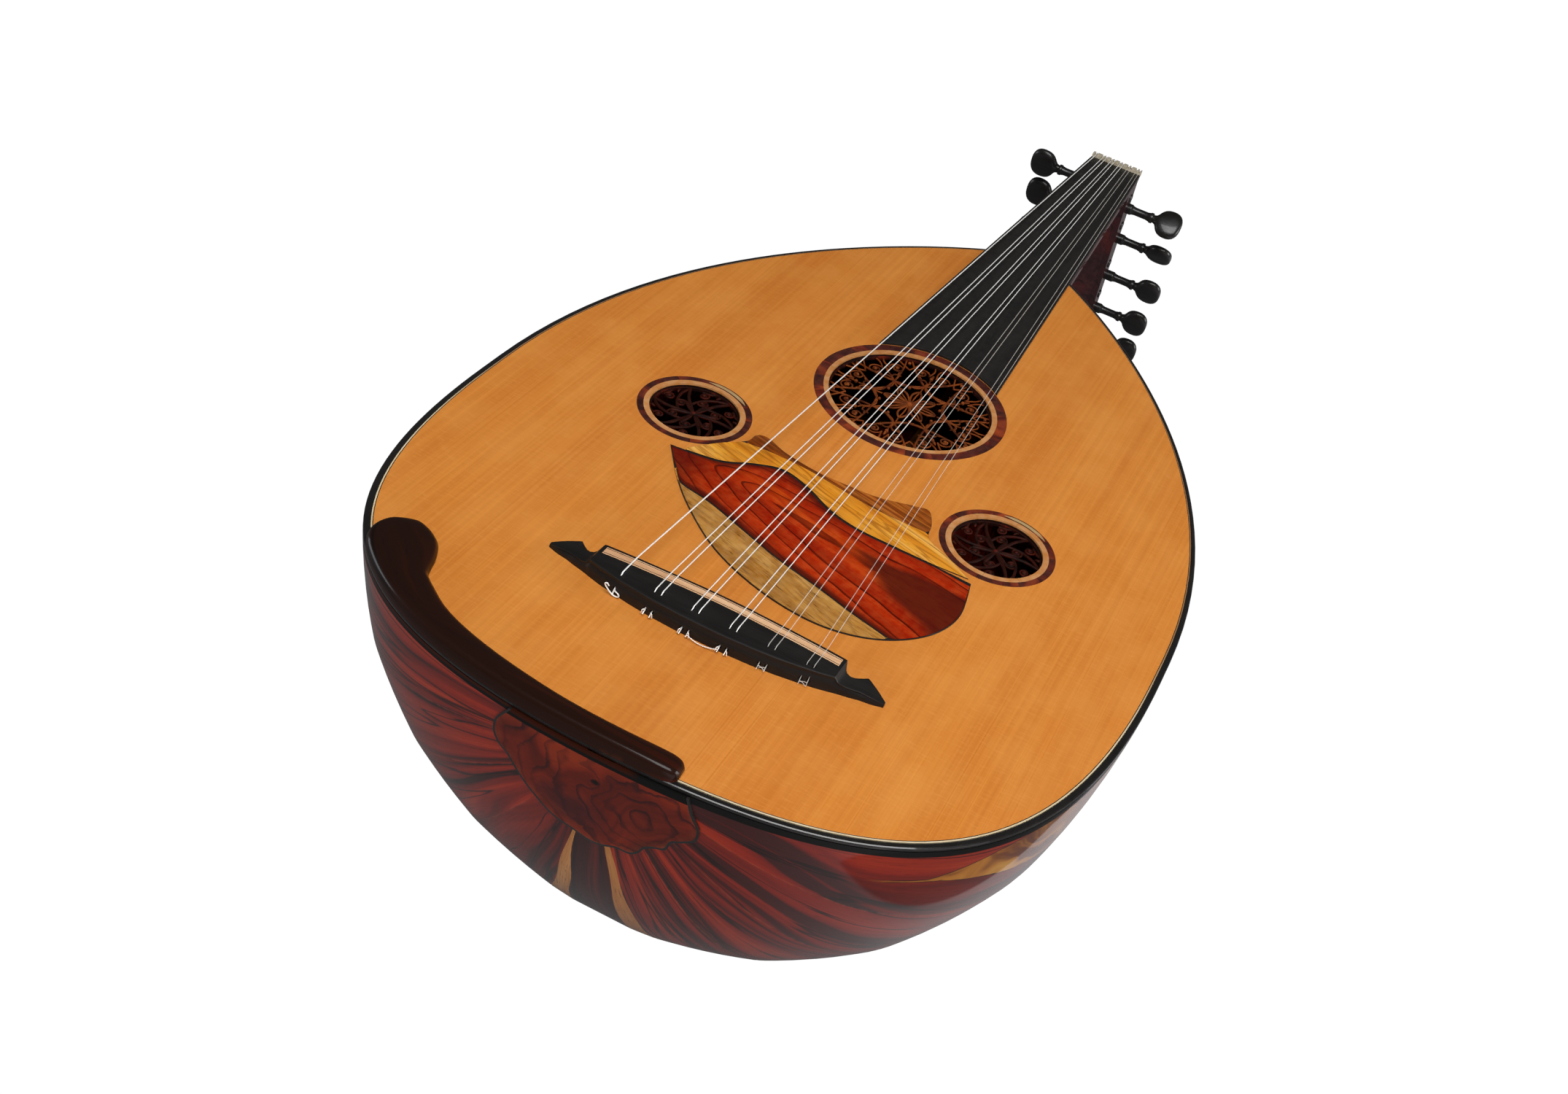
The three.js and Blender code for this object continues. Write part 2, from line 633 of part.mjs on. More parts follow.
// Pegbox: its own frame has Y down the box from the nut and Z out of its open front
const pegbox = new THREE.Group();
pegbox.position.copy(pegboxOrigin);
pegbox.rotation.x = -pegboxAngle;
body.add(pegbox);

const alongBox = (u) => u / pegboxLength;
const boxHalfWidth = (u) => THREE.MathUtils.lerp(pegboxTopHalfWidth, pegboxTipHalfWidth, alongBox(u));
const boxDepth = (u) => THREE.MathUtils.lerp(pegboxTopDepth, pegboxTipDepth, alongBox(u));
const pegHeight = (u) => -pegboxFrontDrop - pegAxisShare * (boxDepth(u) - pegboxFrontDrop);
const boxTopSlope = Math.cos(pegboxAngle) / Math.sin(pegboxAngle);
const boxFrontTop = [-pegboxFrontSetback * pegboxU.y, -pegboxFrontSetback * pegboxV.y];
const boxBackTop = [-pegboxTopDepth * boxTopSlope, -pegboxTopDepth];
const boxRing = (profile, width) => profile.map(([u, v]) => new THREE.Vector3(width(u), u, v));

// Pegs in two rows: which side, how far down the box, which string and how far each is turned
const pegStandShares = [-0.8, -1, 0.6, -0.2, 0.3, -0.6, -1, -0.3, 0.7, -0.2, -0.5];
const pegPlaceShares = [0.75, -1, 0.25, 0, -0.25, 0.25, 0.25, -0.75, 0.25, 0.75, 0.25];
const pegTurns = [-10, -15, -38, 98, 22, -70, -70, 20, 0, -10, -15];
const bassOrder = [0, 1, 2, 3, 4, 5];
const trebleOrder = [10, 9, 8, 7, 6];
const pegRow = (side, order, first, shares) => order.map((string, row) =>
  ({ side, row, string, u: first + row * pegPitch + pegPlaceSpread * shares[row] }));
const pegs = [
  ...pegRow(-1, bassOrder.slice(0, bassPegs), firstPegBass, pegPlaceShares),
  ...pegRow(1, trebleOrder.slice(0, treblePegs), firstPegTreble, pegPlaceShares.slice(bassPegs)),
];

// The shaft tapers to the far cheek, and a collar stands beside the head
function pegSection(x, wide, thin) {
  return circlePoints(1, pegSides).map((c) => new THREE.Vector3(x, c.x * wide, c.y * thin));
}
const shaftEnd = (peg) => -2 * boxHalfWidth(peg.u) - pegStub;
const pegHeadShares = [
  { along: 0.08, wide: 0.5, thin: 1 },
  { along: 0.32, wide: 0.92, thin: 0.96 },
  { along: 0.58, wide: 1, thin: 0.85 },
  { along: 0.82, wide: 0.84, thin: 0.68 },
  { along: 1, wide: 0.36, thin: 0.42 },
];

function pegSolid(peg) {
  const stand = pegStandSpread * (1 + pegStandShares[pegs.indexOf(peg)]);
  const shoulder = pegShoulderPlace + stand;
  const head = pegHeadPlace + stand;
  const collar = head - pegCollarLength;
  return loft([
    pegSection(shaftEnd(peg), pegThinRadius, pegThinRadius),
    pegSection(shoulder, pegThickRadius, pegThickRadius),
    pegSection(shoulder + pegTaperLength, pegNeckRadius, pegNeckRadius),
    pegSection(collar - pegCollarLength, pegNeckRadius, pegNeckRadius),
    pegSection(collar, pegCollarRadius, pegCollarRadius),
    pegSection(head, pegCollarRadius, pegCollarRadius),
    ...pegHeadShares.map(({ along, wide, thin }) =>
      pegSection(head + along * pegHeadLength, wide * pegHeadHalfWidth, thin * pegHeadHalfThickness)),
  ]);
}

const boreSides = 10;
const boreGrow = 1 / Math.cos(Math.PI / boreSides);
function pegBore(peg) {
  const from = shaftEnd(peg) - pegboxCapLength;
  const to = pegShoulderPlace;
  const bore = (x, radius) =>
    circlePoints((radius + pegClearance) * boreGrow, boreSides).map((c) => new THREE.Vector3(x, c.x, c.y));
  const geometry = loft([bore(from, pegThinRadius), bore(to, pegThickRadius)]);
  if (peg.side < 0) geometry.rotateZ(Math.PI);
  return geometry.translate(peg.side * boxHalfWidth(peg.u), peg.u, pegHeight(peg.u));
}

const cheekProfile = [
  boxFrontTop,
  [pegboxScoopLength, -pegboxFrontDrop],
  [pegboxLength, -pegboxFrontDrop],
  [pegboxLength, -pegboxTipDepth],
  boxBackTop,
];
const bores = pegs.map(pegBore);
const pegboxFinish = finish(0x3a1416, 0.35);
[["bass", -1], ["treble", 1]].forEach(([name, side]) => {
  const outer = boxRing(cheekProfile, (u) => side * boxHalfWidth(u));
  const inner = boxRing(cheekProfile, (u) => side * (boxHalfWidth(u) - cheekThickness));
  addPart(`pegbox_cheek_${name}`, cutFrom(loft([outer, inner]), bores), pegboxFinish, pegbox);
});

// Floor of the pegbox in one piece with the head block under the nut
const plugStart = pegboxLength - pegboxPlugLength;
const floorProfile = [
  boxFrontTop,
  [pegboxScoopLength, -pegboxFrontDrop],
  [pegboxScoopLength, pegboxFloor - boxDepth(pegboxScoopLength)],
  [plugStart - glueGap, pegboxFloor - boxDepth(plugStart)],
  [plugStart - glueGap, -boxDepth(plugStart)],
  boxBackTop,
];
const boxInside = (u) => boxHalfWidth(u) - cheekThickness - glueGap;
const floorSolid = loft([boxRing(floorProfile, boxInside), boxRing(floorProfile, (u) => -boxInside(u))]);
addPart("pegbox_floor", floorSolid, pegboxFinish, pegbox);

// Tip block: a plug between the cheeks with a cap over their ends
function tipRing(u, half, front, back) {
  return [[-half, front], [half, front], [half, back], [-half, back]].map(([x, v]) => new THREE.Vector3(x, u, v));
}
const tipFront = -pegboxFrontDrop;
const capSeat = pegboxLength + glueGap;
const capEnd = capSeat + pegboxCapLength;
addPart("pegbox_tip", loft([
  tipRing(plugStart, boxInside(pegboxLength), tipFront, -pegboxTipDepth),
  tipRing(capSeat, boxInside(pegboxLength), tipFront, -pegboxTipDepth),
  tipRing(capSeat, pegboxTipHalfWidth, tipFront, -pegboxTipDepth),
  tipRing(capEnd - capInset, pegboxTipHalfWidth, tipFront, -pegboxTipDepth),
  tipRing(capEnd, pegboxTipHalfWidth - capInset, tipFront - capInset, capInset - pegboxTipDepth),
]), pegboxFinish, pegbox);

const pegFinish = finish(0x12100f, 0.25);
pegs.forEach((peg) => {
  const side = peg.side < 0 ? "bass" : "treble";
  const mesh = addPart(`peg_${side}_${peg.row + 1}`, pegSolid(peg), pegFinish, pegbox);
  const turn = THREE.MathUtils.degToRad(pegTurns[pegs.indexOf(peg)]);
  mesh.position.set(peg.side * boxHalfWidth(peg.u), peg.u, pegHeight(peg.u));
  mesh.rotation.set(turn, 0, peg.side < 0 ? Math.PI : 0);
});

// Strings: from the tail behind the bridge, over the nut, to a winding round the peg
function windingRadius(radius) {
  const chord = 1 / Math.cos(Math.PI / windingSteps);
  return (pegThickRadius + touchGap + radius) * chord;
}

function stringPath(peg) {
  const radius = stringDiameters[peg.string] / 2;
  const clear = radius + stringRestGap;
  const bridgeX = bridgePlaces[peg.string];
  const nutX = nutPlaces[peg.string];
  const { kink, exit, direction } = bridgeHoleLine(bridgeX, clear);
  const tail = exit.clone().addScaledVector(direction, stringTailLength);
  const overBridge = new THREE.Vector3(bridgeX, bridgeFront(bridgeX), bridgeHeight + clear);
  const overNut = new THREE.Vector3(nutX, nutFront, nutSlotFloor + clear);

  // Round the back edge of the nut slot, down towards the peg
  const wind = windingRadius(radius);
  const centreV = pegHeight(peg.u);
  const lane = peg.side * (firstLane - peg.row * lanePitch);
  const drop = nutSlotFloor * pegboxV.z - centreV - wind;
  const leave = pegboxAngle + Math.atan2(drop, peg.u);
  const cornerSteps = 3;
  const corner = Array.from({ length: cornerSteps + 1 }, (_, i) => {
    const angle = (leave * i) / cornerSteps;
    return new THREE.Vector3(nutX, nutBack + clear * Math.sin(angle), nutSlotFloor + clear * Math.cos(angle));
  });

  // The tangent from there to the winding, in the frame of the pegbox
  const start = corner[cornerSteps].clone().sub(pegboxOrigin);
  const startU = start.dot(pegboxU);
  const startV = start.dot(pegboxV);
  const run = peg.u - startU;
  const rise = centreV - startV;
  const reach = Math.hypot(run, rise);
  const slope = Math.atan2(rise, run) + Math.asin(wind / reach);
  const pitch = stringDiameters[peg.string] + windingSpace;
  const turnSteps = Math.round(windingTurns * windingSteps);
  const winding = Array.from({ length: turnSteps + 1 }, (_, i) => {
    const angle = (i / windingSteps) * 2 * Math.PI - slope;
    const x = lane + peg.side * pitch * (i / windingSteps);
    return pegboxPoint(x, peg.u + wind * Math.sin(angle), centreV + wind * Math.cos(angle));
  });
  return { points: [tail, exit, kink, overBridge, overNut, ...corner, ...winding], winding };
}

// Least gap between turns of a winding, measured between points at least half a turn apart
function leastSelfGap(points, diameter) {
  const apart = Math.round(windingSteps / 2);
  let least = Infinity;
  points.forEach((p, i) => {
    points.slice(i + apart).forEach((q) => {
      least = Math.min(least, p.distanceTo(q) - diameter);
    });
  });
  return least;
}

const woundFinish = finish(0xb9b6ae, 0.3, 0.9);
const nylonFinish = finish(0xcfcbc2, 0.3);
const woundStrings = 7;
const selfGaps = pegs.map((peg) => {
  const diameter = stringDiameters[peg.string];
  const { points, winding } = stringPath(peg);
  const name = `string_${String(peg.string + 1).padStart(2, "0")}`;
  addPart(name, tube(points, diameter / 2, stringSides), peg.string < woundStrings ? woundFinish : nylonFinish);
  return leastSelfGap(winding, diameter);
});
console.log(`least gap between string turns ${Math.min(...selfGaps).toFixed(2)} mm`);

// Tail clasp: a thin shell over the ends of the ribs, wavy along its lower edge
const claspColumns = 18;
const claspRows = 4;
function claspCurveShare(radius) {
  let low = 0;
  let high = 1;
  const halvings = 24;
  for (let i = 0; i < halvings; i += 1) {
    const middle = (low + high) / 2;
    if (tailCurve.getPoint(middle).x < radius) low = middle;
    else high = middle;
  }
  return low;
}

function claspSolid() {
  const faces = [claspGap + claspThickness, claspGap].map((proud) =>
    Array.from({ length: claspColumns + 1 }, (_, column) => {
      const degrees = (column / claspColumns) * 180;
      const wave = claspWave * Math.cos((claspWaves * degrees * Math.PI) / 180);
      const edge = claspCurveShare(claspReach + wave);
      return Array.from({ length: claspRows + 1 }, (_, row) =>
        bowlPoint(station(tailCurve, edge * (row / claspRows)), degrees, -proud));
    }));
  const rings = faces[0].map((outer, column) => [...outer, ...[...faces[1][column]].reverse()]);
  return loft(rings);
}
addPart("tail_clasp", claspSolid(), finish(0x7a2418, 0.3));

// Arm rest on the bass side of the tail; places follow the tail curve, negative on the bass side
const armrestShares = [
  { along: -0.515, wide: 0.5, tall: 0.45 },
  { along: -0.5, wide: 1.05, tall: 0.65 },
  { along: -0.465, wide: 1.42, tall: 0.8 },
  { along: -0.425, wide: 1.5, tall: 0.9 },
  { along: -0.385, wide: 1.3, tall: 1 },
  { along: -0.335, wide: 1.1, tall: 1 },
  { along: -0.28, wide: 1.02, tall: 1 },
  { along: -0.2, wide: 0.95, tall: 1 },
  { along: -0.12, wide: 0.9, tall: 1 },
  { along: -0.04, wide: 0.88, tall: 1 },
  { along: 0.03, wide: 0.88, tall: 0.97 },
  { along: 0.062, wide: 0.82, tall: 0.85 },
  { along: 0.075, wide: 0.5, tall: 0.55 },
];
const armrestNoseShare = 0.88;
const armrestSectionShares = [[0, 0], [0, 0.55], [0.1, 0.9], [0.28, 1], [0.52, 0.8], [0.8, 0.42], [1, 0.12], [1, 0]];
const armrestRings = armrestShares.map(({ along, wide, tall }) => {
  const side = along < 0 ? -1 : 1;
  const place = station(tailCurve, Math.abs(along));
  const shrink = (armrestWidth * (1 - Math.min(wide / armrestNoseShare, 1))) / 2;
  return armrestSectionShares.map(([across, up]) => {
    const p = inset(place, shrink + across * wide * armrestWidth);
    return new THREE.Vector3(side * p.x, p.y, up * tall * armrestHeight);
  });
});
addPart("armrest", loft(armrestRings), finish(0x2a0f0c, 0.2));

export default oud;
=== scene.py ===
import math
import bmesh
import bpy
from mathutils import Matrix, Vector


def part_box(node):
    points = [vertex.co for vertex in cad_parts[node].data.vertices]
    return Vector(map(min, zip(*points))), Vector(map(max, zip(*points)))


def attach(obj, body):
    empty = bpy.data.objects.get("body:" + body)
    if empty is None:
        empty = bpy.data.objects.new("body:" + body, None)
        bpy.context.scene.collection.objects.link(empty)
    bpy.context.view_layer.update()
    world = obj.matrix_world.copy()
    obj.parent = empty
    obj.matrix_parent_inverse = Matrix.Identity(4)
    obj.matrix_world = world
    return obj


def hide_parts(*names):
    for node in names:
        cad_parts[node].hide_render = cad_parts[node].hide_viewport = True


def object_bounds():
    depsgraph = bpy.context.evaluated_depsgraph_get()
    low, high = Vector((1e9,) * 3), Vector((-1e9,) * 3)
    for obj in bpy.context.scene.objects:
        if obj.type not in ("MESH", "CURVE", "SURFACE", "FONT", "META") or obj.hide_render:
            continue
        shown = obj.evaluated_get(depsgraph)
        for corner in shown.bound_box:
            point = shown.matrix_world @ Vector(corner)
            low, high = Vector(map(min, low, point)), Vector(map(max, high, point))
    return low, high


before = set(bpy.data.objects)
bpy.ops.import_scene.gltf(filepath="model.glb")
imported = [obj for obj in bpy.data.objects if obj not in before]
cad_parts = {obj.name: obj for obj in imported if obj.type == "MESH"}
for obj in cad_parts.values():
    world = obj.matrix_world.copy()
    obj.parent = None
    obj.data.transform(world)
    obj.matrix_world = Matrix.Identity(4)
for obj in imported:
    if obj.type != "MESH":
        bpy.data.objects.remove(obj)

scene = bpy.context.scene
cadLow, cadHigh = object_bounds()

# Places are written in millimetres: y = 0 at the bridge line, z = 0 on top of the soundboard
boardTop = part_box("soundboard")[1].z
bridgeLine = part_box("nut")[0].y - 0.585


def at(x, y, z=0.0):
    return Vector((x / 1000, y / 1000 + bridgeLine, z / 1000 + boardTop))


def mix(a, b, share):
    return a + (b - a) * share


def spread(low, high, count):
    return [mix(low, high, i / (count - 1)) for i in range(count)]


# Turning point lists into pieces
def newPiece(name, mesh, body="instrument"):
    mesh.name = name
    piece = bpy.data.objects.new(name, mesh)
    scene.collection.objects.link(piece)
    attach(piece, body)
    return piece


def dress(piece, material, slot, *replaced):
    piece.data.materials.clear()
    piece.data.materials.append(material)
    if replaced:
        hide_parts(*replaced)
    return piece


def addPiece(name, mesh, material, slot, *replaced):
    return dress(newPiece(name, mesh), material, slot, *replaced)


def finishMesh(mesh, sharp):
    work = bmesh.new()
    work.from_mesh(mesh)
    bmesh.ops.remove_doubles(work, verts=work.verts, dist=1e-7)
    bmesh.ops.dissolve_degenerate(work, edges=work.edges, dist=1e-8)
    bmesh.ops.recalc_face_normals(work, faces=work.faces)
    work.to_mesh(mesh)
    work.free()
    mesh.shade_smooth()
    mesh.set_sharp_from_angle(angle=math.radians(sharp))
    return mesh


def meshOf(points, faces, sharp=38, flow=None):
    mesh = bpy.data.meshes.new("piece")
    mesh.from_pydata([tuple(p) for p in points], [], faces)
    if flow:  # where each point lies along and across the grain, in metres
        layer = mesh.uv_layers.new(name="grainFlow")
        for loop in mesh.loops:
            layer.data[loop.index].uv = flow[loop.vertex_index]
    return finishMesh(mesh, sharp)


# A flat plate with holes and slightly rounded edges, drawn in millimetres about a point of the board
def flatPlate(outer, holes, low, high, rounding=0.2, sharp=12, centre=(0, 0)):
    curve = bpy.data.curves.new("outline", "CURVE")
    curve.dimensions = "2D"
    curve.fill_mode = "BOTH"
    for line in [outer, *holes]:
        spline = curve.splines.new("POLY")
        spline.points.add(len(line) - 1)
        for point, (x, y) in zip(spline.points, line):
            point.co = (x / 1000, y / 1000, 0, 1)
        spline.use_cyclic_u = True
    curve.bevel_depth = rounding / 1000
    curve.bevel_resolution = 1
    curve.offset = -rounding / 1000
    curve.extrude = (high - low) / 2000 - rounding / 1000
    holder = bpy.data.objects.new("outline", curve)
    scene.collection.objects.link(holder)
    bpy.context.view_layer.update()
    mesh = bpy.data.meshes.new_from_object(holder.evaluated_get(bpy.context.evaluated_depsgraph_get()))
    bpy.data.objects.remove(holder)
    mesh.transform(Matrix.Translation(at(centre[0], centre[1], (high + low) / 2)))
    return finishMesh(mesh, sharp)


def polar(radius, turn):
    return radius * math.cos(turn), radius * math.sin(turn)


def circle(radius, count=96, x=0.0, y=0.0):
    places = [polar(radius, i / count * 2 * math.pi) for i in range(count)]
    return [(x + across, y + along) for across, along in places]


def ringFaces(first, count, sides):  # the faces between rings of points, and both ends
    faces = []
    for low in range(first, first + (count - 1) * sides, sides):
        for k in range(sides):
            n = (k + 1) % sides
            faces.append((low + k, low + n, low + sides + n, low + sides + k))
    last = first + (count - 1) * sides
    return [*faces, tuple(range(first + sides - 1, first - 1, -1)), tuple(range(last, last + sides))]


def loft(rings, sharp=38, flow=None):
    points = [p for ring in rings for p in ring]
    return meshOf(points, ringFaces(0, len(rings), len(rings[0])), sharp, flow)


# Round strokes of changing thickness, all joined into one mesh; each is (points, radii)
def strokesMesh(strokes, sides=8, flatten=1.0, flow=False):
    points, faces, pairs = [], [], []
    turns = [k / sides * 2 * math.pi for k in range(sides)]
    for line, radii in strokes:
        faces += ringFaces(len(points), len(line), sides)
        side, length = None, 0.0
        for i, p in enumerate(line):
            before, after = line[max(i - 1, 0)], line[min(i + 1, len(line) - 1)]
            tangent = (after - before).normalized()
            if side is None:
                side = tangent.cross(Vector((0, 0, 1)))
                side = side if side.length > 1e-4 else tangent.cross(Vector((0, 1, 0)))
            side = (side - tangent * side.dot(tangent)).normalized()
            other = tangent.cross(side) * flatten
            length += (p - before).length
            for turn in turns:
                across, up = polar(radii[i], turn)
                points.append(p + side * across + other * up)
                pairs.append((length, turn * radii[i]))
    return meshOf(points, faces, 60, pairs if flow else None)


def splineThrough(knots, perSpan):
    knots = [Vector(k) for k in knots]
    line = []
    for a, b, c, d in zip([knots[0], *knots], knots, knots[1:], [*knots[2:], knots[-1]]):
        for t in spread(0, 1, perSpan + 1)[:-1]:
            line.append(0.5 * (2 * b + (c - a) * t + (2 * a - 5 * b + 4 * c - d) * t ** 2
                               + (3 * b - a - 3 * c + d) * t ** 3))
    return [*line, knots[-1]]


def softEdges(piece, width, steps=2, angle=30):
    bevel = piece.modifiers.new("softEdges", "BEVEL")
    bevel.width = width / 1000
    bevel.segments = steps
    bevel.limit_method = "ANGLE"
    bevel.angle_limit = math.radians(angle)
    bevel.harden_normals = True
    return piece


# Node helpers: a value is a socket or a number, and each helper works in the tree of the sockets it is given
def node(tree, kind, inputs=None, **settings):
    made = tree.nodes.new(kind)
    for key, value in settings.items():
        setattr(made, key, value)
    for key, value in (inputs or {}).items():
        if isinstance(value, bpy.types.NodeSocket):
            tree.links.new(value, made.inputs[key])
        else:
            made.inputs[key].default_value = value
    return made


def treeOf(*values):
    return next(value.id_data for value in values if isinstance(value, bpy.types.NodeSocket))


def feed(value, socket):
    value.id_data.links.new(value, socket)


def maths(operation, a, b=0.0, c=0.0):
    return node(treeOf(a, b, c), "ShaderNodeMath", {0: a, 1: b, 2: c}, operation=operation).outputs[0]


def plus(a, b):
    return maths("ADD", a, b)


def minus(a, b):
    return maths("SUBTRACT", a, b)


def times(a, b):
    return maths("MULTIPLY", a, b)


def blend(share, a, b):  # a colour is a socket, or its red, green and blue
    a, b = (colour if isinstance(colour, bpy.types.NodeSocket) else (*colour, 1.0) for colour in (a, b))
    made = node(treeOf(share, a, b), "ShaderNodeMix", {0: share, 6: a, 7: b}, data_type="RGBA", blend_type="MIX")
    made.clamp_factor = True
    return made.outputs[2]


def between(value, low, high, newLow=0.0, newHigh=1.0, smooth=False):
    return node(treeOf(value), "ShaderNodeMapRange", {0: value, 1: low, 2: high, 3: newLow, 4: newHigh},
                interpolation_type="SMOOTHSTEP" if smooth else "LINEAR").outputs[0]


def ramp(value, stops):
    made = node(treeOf(value), "ShaderNodeValToRGB", {0: value})
    marks = made.color_ramp.elements
    while len(marks) < len(stops):
        marks.new(0.5)
    for mark, (place, colour) in zip(marks, stops):
        mark.position = place
        mark.color = (*colour, 1.0)
    return made.outputs[0]


def noise(place, scale=1.0, detail=2.0, rough=0.5, distortion=0.0):
    return node(treeOf(place), "ShaderNodeTexNoise", {"Vector": place, "Scale": scale, "Detail": detail,
                                                      "Roughness": rough, "Distortion": distortion}).outputs[0]


def split(place):
    return node(treeOf(place), "ShaderNodeSeparateXYZ", {0: place}).outputs


def join(x, y, z=0.0):
    return node(treeOf(x, y, z), "ShaderNodeCombineXYZ", {0: x, 1: y, 2: z}).outputs[0]


def vectorMath(operation, a, b=(0.0, 0.0, 0.0)):
    made = node(treeOf(a), "ShaderNodeVectorMath", {0: a, 1: b}, operation=operation)
    return made.outputs["Value" if operation == "LENGTH" else 0]


def stretched(place, scale):
    return node(treeOf(place), "ShaderNodeMapping", {0: place, 3: scale}).outputs[0]


def framePlace(tree):  # places in the shared frame, in metres
    return tree.nodes.new("ShaderNodeTexCoord").outputs["Object"]


def flowPlace(tree):  # the grain map of a bent piece
    return node(tree, "ShaderNodeUVMap", uv_map="grainFlow").outputs[0]


def newGroup(name, inputs, outputs):  # an input without a default is a vector
    tree = bpy.data.node_groups.new(name, "ShaderNodeTree")
    for key, value in inputs.items():
        kind = "NodeSocketVector" if value is None else "NodeSocketFloat"
        socket = tree.interface.new_socket(name=key, in_out="INPUT", socket_type=kind)
        if value is not None:
            socket.default_value = value
    for key in outputs:
        tree.interface.new_socket(name=key, in_out="OUTPUT", socket_type="NodeSocketFloat")
    return tree, tree.nodes.new("NodeGroupInput").outputs, tree.nodes.new("NodeGroupOutput").inputs


def useGroup(group, **inputs):
    return node(treeOf(*inputs.values()), "ShaderNodeGroup", inputs, node_tree=group).outputs


# Shared effects
def makeGrainGroup():
    ranges = {"bands": (0.28, 0.72), "fibre": (0.3, 0.7), "pores": (0.64, 0.72)}
    tree, given, out = newGroup("woodGrain",
                                {"Vector": None, "Along": 4.0, "Across": 120.0, "Wander": 0.4, "Fibre": 900.0},
                                ("Bands", "Fibre", "Cloud", "Pores"))
    parts = split(given["Vector"])
    along, wide, deep = (times(part, given[key]) for part, key in zip(parts, ("Along", "Across", "Across")))
    slow = join(along, times(wide, 0.25), times(deep, 0.25))
    shift = times(minus(noise(slow), 0.5), times(given["Wander"], 8.0))
    bands = noise(join(times(along, 0.5), plus(wide, shift), deep), detail=3.0, rough=0.55)
    feed(between(bands, *ranges["bands"]), out["Bands"])
    finePlace = join(times(along, 6.0), times(parts[1], given["Fibre"]), times(parts[2], given["Fibre"]))
    feed(between(noise(finePlace, detail=4.0, rough=0.65), *ranges["fibre"]), out["Fibre"])
    feed(between(noise(slow, 0.7, 3.0), *ranges["fibre"], smooth=True), out["Cloud"])
    pores = noise(join(times(parts[0], 110.0), times(parts[1], 1500.0), times(parts[2], 1500.0)), detail=1.0)
    feed(between(pores, *ranges["pores"], smooth=True), out["Pores"])
    return tree


def makeVeinGroup():  # thin dark growth lines that follow the grain
    tree, given, out = newGroup("darkVeins",
                                {"Vector": None, "Along": 3.0, "Across": 60.0, "Width": 0.03, "Count": 2.0},
                                ("Vein",))
    parts = split(given["Vector"])
    place = join(*(times(part, given[key]) for part, key in zip(parts, ("Along", "Across", "Across"))))
    field = noise(place, detail=2.5, rough=0.45, distortion=0.3)
    folded = maths("PINGPONG", times(field, times(given["Count"], 10.0)), 1.0)
    feed(between(folded, times(given["Width"], 10.0), 0.0, smooth=True), out["Vein"])
    return tree


def makeWearGroup():  # rubbed edges and fingermarks
    tree, given, out = newGroup("handWear", {"Vector": None, "Scale": 30.0, "Edge": 0.5}, ("Edge", "Smudge"))
    pointed = node(tree, "ShaderNodeNewGeometry").outputs["Pointiness"]
    broken = noise(given["Vector"], 260.0, 3.0)
    edge = times(between(pointed, 0.52, 0.6), between(broken, 0.35, 0.65))
    feed(times(edge, given["Edge"]), out["Edge"])
    smudge = noise(given["Vector"], given["Scale"], 4.0, 0.6, 0.6)
    feed(between(smudge, 0.35, 0.7, smooth=True), out["Smudge"])
    return tree


def makeRippleGroup():  # the slight waviness of brushed and rubbed lacquer
    tree, given, out = newGroup("lacquerRipple", {"Vector": None, "Scale": 60.0, "Depth": 1.0}, ("Height",))
    height = plus(noise(given["Vector"], given["Scale"], 1.0), times(noise(given["Vector"], 700.0), 0.12))
    feed(times(height, given["Depth"]), out["Height"])
    return tree


grainGroup = makeGrainGroup()
veinGroup = makeVeinGroup()
wearGroup = makeWearGroup()
rippleGroup = makeRippleGroup()
print("shared effects ready")


def startMaterial(name, roughness=0.4, coat=0.0, coatRoughness=0.05, **plain):
    material = bpy.data.materials.new(name)
    material.use_nodes = True
    tree = material.node_tree
    tree.nodes.clear()
    shader = tree.nodes.new("ShaderNodeBsdfPrincipled")
    shader.inputs["Roughness"].default_value = roughness
    shader.inputs["Coat Weight"].default_value = coat
    shader.inputs["Coat Roughness"].default_value = coatRoughness
    for key, value in plain.items():
        shader.inputs[key].default_value = value
    output = tree.nodes.new("ShaderNodeOutputMaterial")
    tree.links.new(shader.outputs[0], output.inputs["Surface"])
    return material, tree, shader


def applyBump(shader, height, strength, distance=0.001):
    bump = node(treeOf(height), "ShaderNodeBump", {"Height": height, "Strength": strength, "Distance": distance})
    feed(bump.outputs[0], shader.inputs["Normal"])


def rimmed(shader, colour, coat):  # the black edge goes on as a satin band round the top of the bowl
    rim = {"low": (0.0052, 0.0032), "from": 0.05, "to": 0.38, "edge": 0.0002, "satin": 0.12, "brownDeep": 0.0036,
           "black": (0.006, 0.0058, 0.0056), "brown": (0.026, 0.006, 0.003)}
    across, length, height = split(framePlace(treeOf(colour)))
    lowEnd = between(length, bridgeLine + rim["from"], bridgeLine + rim["to"],
                     *(boardTop - low for low in rim["low"]))
    band = between(minus(height, lowEnd), 0.0, rim["edge"])
    feed(between(band, 0.0, 1.0, coat, rim["satin"]), shader.inputs["Coat Weight"])
    under = times(between(across, 0.017, 0.012), between(length, -0.07, -0.08))  # brown under the arm rest
    brown = times(under, between(height, boardTop - rim["brownDeep"], boardTop - rim["brownDeep"] + 0.0004))
    return blend(band, colour, blend(brown, rim["black"], rim["brown"]))


